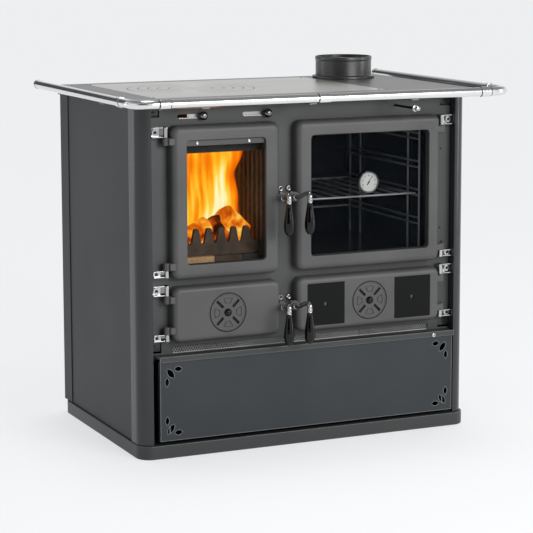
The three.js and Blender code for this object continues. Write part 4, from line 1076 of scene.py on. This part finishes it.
def flame(name, y, edge_left, edge_right, z0, z1, gain, seed):
    """One curtain of flame: a wavy sheet with thickness, hottest in its core."""
    columns, rows = 46, 70
    bm = bmesh.new()
    heats = []
    for side in (-1, 1):
        grid = []
        for j in range(rows + 1):
            t = j / rows
            left, right = eased(edge_left, t), eased(edge_right, t)
            z = z0 + (z1 - z0) * t
            row = []
            for i in range(columns + 1):
                s = i / columns
                x = left + (right - left) * s
                lens = sin(pi * s) ** 0.6
                wave = 12 * noise.noise(Vector((x / 45, seed, z / 90)))
                row.append(bm.verts.new(at(x, y + wave + side * 9 * lens, z)))
                heats.append(flame_heat(x, z, s, t, gain, seed))
            grid.append(row)
        for low, high in zip(grid, grid[1:]):
            for i in range(columns):
                bm.faces.new((low[i], low[i + 1], high[i + 1], high[i]))
    mesh = bpy.data.meshes.new(name)
    bmesh.ops.recalc_face_normals(bm, faces=bm.faces)
    bm.to_mesh(mesh)
    bm.free()
    mesh.shade_smooth()
    obj = link(name, mesh)
    mesh.materials.append(FLAME)
    layer = mesh.attributes.new("ember_level", "FLOAT", "POINT")
    for k, heat in enumerate(heats):
        layer.data[k].value = heat
    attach(obj, "stove")


def flames():
    flame("flame_curtain_front", 140, [-322, -324, -323, -322, -320, -316],
          [-116, -118, -126, -136, -112, -100], 478, 778, 1.0, 2.0)
    flame("flame_curtain_back", 268, [-318, -322, -324, -320, -312, -306],
          [-112, -118, -128, -132, -120, -114], 478, 780, 0.8, 9.0)


def hearth_bricks():
    """The row of bricks in front of the guard."""
    bricks = ((-329, -235, BRICK), (-234.4, -162, GUARD), (-161.4, -111, "black_iron"))
    for i, (x0, x1, mat) in enumerate(bricks):
        bm = bmesh.new()
        block(bm, x0, x1, 39, 55, 457, 475, 1.2)
        piece(f"hearth_brick_{i + 1}", bm, mat, "stove", None)


# ---- Studio, in metres

BACK = (0.905, 0.913, 0.921, 1)


def place_camera():
    image_size, focal_pixels = 533, 1995.007
    yaw, pitch, roll_angle = 24.453, 8.041, -0.128
    camera = bpy.data.cameras.new("camera")
    camera.sensor_width = 36
    camera.lens = focal_pixels * camera.sensor_width / image_size
    camera.shift_y = -0.1
    camera.clip_end = 200
    view = link("camera", camera)
    view.matrix_world = (Matrix.Translation((-2.081286, -4.560122, 1.247934))
                         @ Matrix.Rotation(radians(-yaw), 4, "Z")
                         @ Matrix.Rotation(radians(90 - pitch), 4, "X")
                         @ Matrix.Rotation(radians(roll_angle), 4, "Z"))
    bpy.context.scene.camera = view


def floor_material():
    """A pale floor that the camera sees bright, while it throws less light on the stove."""
    mat, nt = tree("studio_floor")
    path = add(nt, "LightPath").outputs
    seen = maths(nt, "MAXIMUM", path["Is Camera Ray"], path["Is Glossy Ray"])
    seen = maths(nt, "MAXIMUM", seen, path["Is Transmission Ray"])
    matt = add(nt, "BsdfDiffuse", {"Color": (0.33, 0.333, 0.336, 1)})
    glow = add(nt, "Emission", {"Color": BACK, "Strength": 0.665})
    bright = add(nt, "AddShader", {0: matt.outputs[0], 1: glow.outputs[0]})
    dull = add(nt, "BsdfDiffuse", {"Color": (0.5, 0.5, 0.5, 1)})
    add(nt, "OutputMaterial", {"Surface": blend(nt, seen, dull, bright).outputs[0]})
    return mat


def lay_floor():
    bm = bmesh.new()
    bmesh.ops.create_grid(bm, x_segments=8, y_segments=8, size=60)
    mesh = bpy.data.meshes.new("floor")
    bm.to_mesh(mesh)
    bm.free()
    floor = link("floor", mesh)
    floor.location.z = -0.0005
    mesh.materials.append(floor_material())


def light_world():
    """A pale backdrop for the camera, dark curtains in what gloss mirrors, and a soft light."""
    world = bpy.data.worlds.new("studio")
    bpy.context.scene.world = world
    world.use_nodes = True
    nt = world.node_tree
    nt.nodes.clear()
    path = add(nt, "LightPath").outputs
    mirrored = maths(nt, "MAXIMUM", path["Is Glossy Ray"], path["Is Transmission Ray"])
    light = add(nt, "Background", {"Color": (0.95, 0.97, 1.0, 1), "Strength": 0.46})
    way = add(nt, "TexCoord").outputs["Generated"]
    height = add(nt, "SeparateXYZ", {"Vector": way}).outputs["Z"]
    shade = ramp(nt, height, [(0.0, BACK), (0.25, BACK), (0.6, (0.3, 0.305, 0.31, 1)),
                              (1.0, (0.2, 0.205, 0.21, 1))])
    around = add(nt, "Background", {"Color": shade, "Strength": 1.0})
    dim = add(nt, "Background", {"Color": (0.06, 0.062, 0.065, 1), "Strength": 1.0})
    for towards in ((-0.643, -0.766, 0.0), (-0.36, 0.933, 0.0)):
        facing = add(nt, "VectorMath", {0: way, 1: towards}, operation="DOT_PRODUCT")
        around = blend(nt, spread(nt, facing.outputs["Value"], 0.82, 0.91), around, dim)
    backdrop = add(nt, "Background", {"Color": BACK, "Strength": 1.1})
    unseen = blend(nt, mirrored, light, around)
    add(nt, "OutputWorld", {
        "Surface": blend(nt, path["Is Camera Ray"], unseen, backdrop).outputs[0]})


def lamp(name, kind, energy, place, target, size=None, angle=None):
    data = bpy.data.lights.new(name, kind)
    data.energy = energy
    if size:
        data.shape = "RECTANGLE"
        data.size, data.size_y = size
    if angle:
        data.angle = radians(angle)
    obj = link(name, data)
    obj.location = place
    obj.rotation_euler = (Vector(target) - Vector(place)).to_track_quat("-Z", "Y").to_euler()


def hang_lamps():
    lamp("key", "AREA", 86, (1.0, -3.7, 1.9), (0, 0, 0.5), (2.0, 1.4))
    lamp("fill", "AREA", 3, (-1.7, 1.5, 1.1), (-0.45, 0.3, 0.5), (0.6, 1.6))
    lamp("rim", "AREA", 15, (3.4, -1.7, 1.1), (0.2, 0, 0.6), (0.35, 2.0))
    lamp("sky", "SUN", 1.0, (0.3, 0.5, 3.0), (0.1, 0, 0), angle=22)


# ---- The stove, piece by piece, and its studio

casing()
log_guard()
for door in DOORS:
    door_casting(door)
for door in WINDOWS:
    door_glass(door)
fire_glass_strip()
for door in ("ash", "soot"):
    air_dial(door)
soot_tile("left", -TILE_OUT)
soot_tile("right", TILE_OUT)
for door, d in DOORS.items():
    for lug, which in zip(lug_heights(d), ("upper", "lower")):
        hinge(door, which, lug)
for door in DOORS:
    handle(door)
worktop_plate()
hob_plate()
hob_rings()
hob_screws()
flue_collar()
rail_front()
rail_stays()
rail_joint_lines()
rail_side(-1, "left")
rail_side(1, "right")
for name, x in LEVERS.items():
    air_lever(name, x)
bypass_rod()
air_grille()
notch_shade_plates()
front_fixings()
oven_racks()
oven_shelf()
thermometer()
logs()
bed_of_coals()
flames()
hearth_bricks()
place_camera()
lay_floor()
light_world()
hang_lamps()
bpy.context.scene.view_settings.view_transform = "Standard"
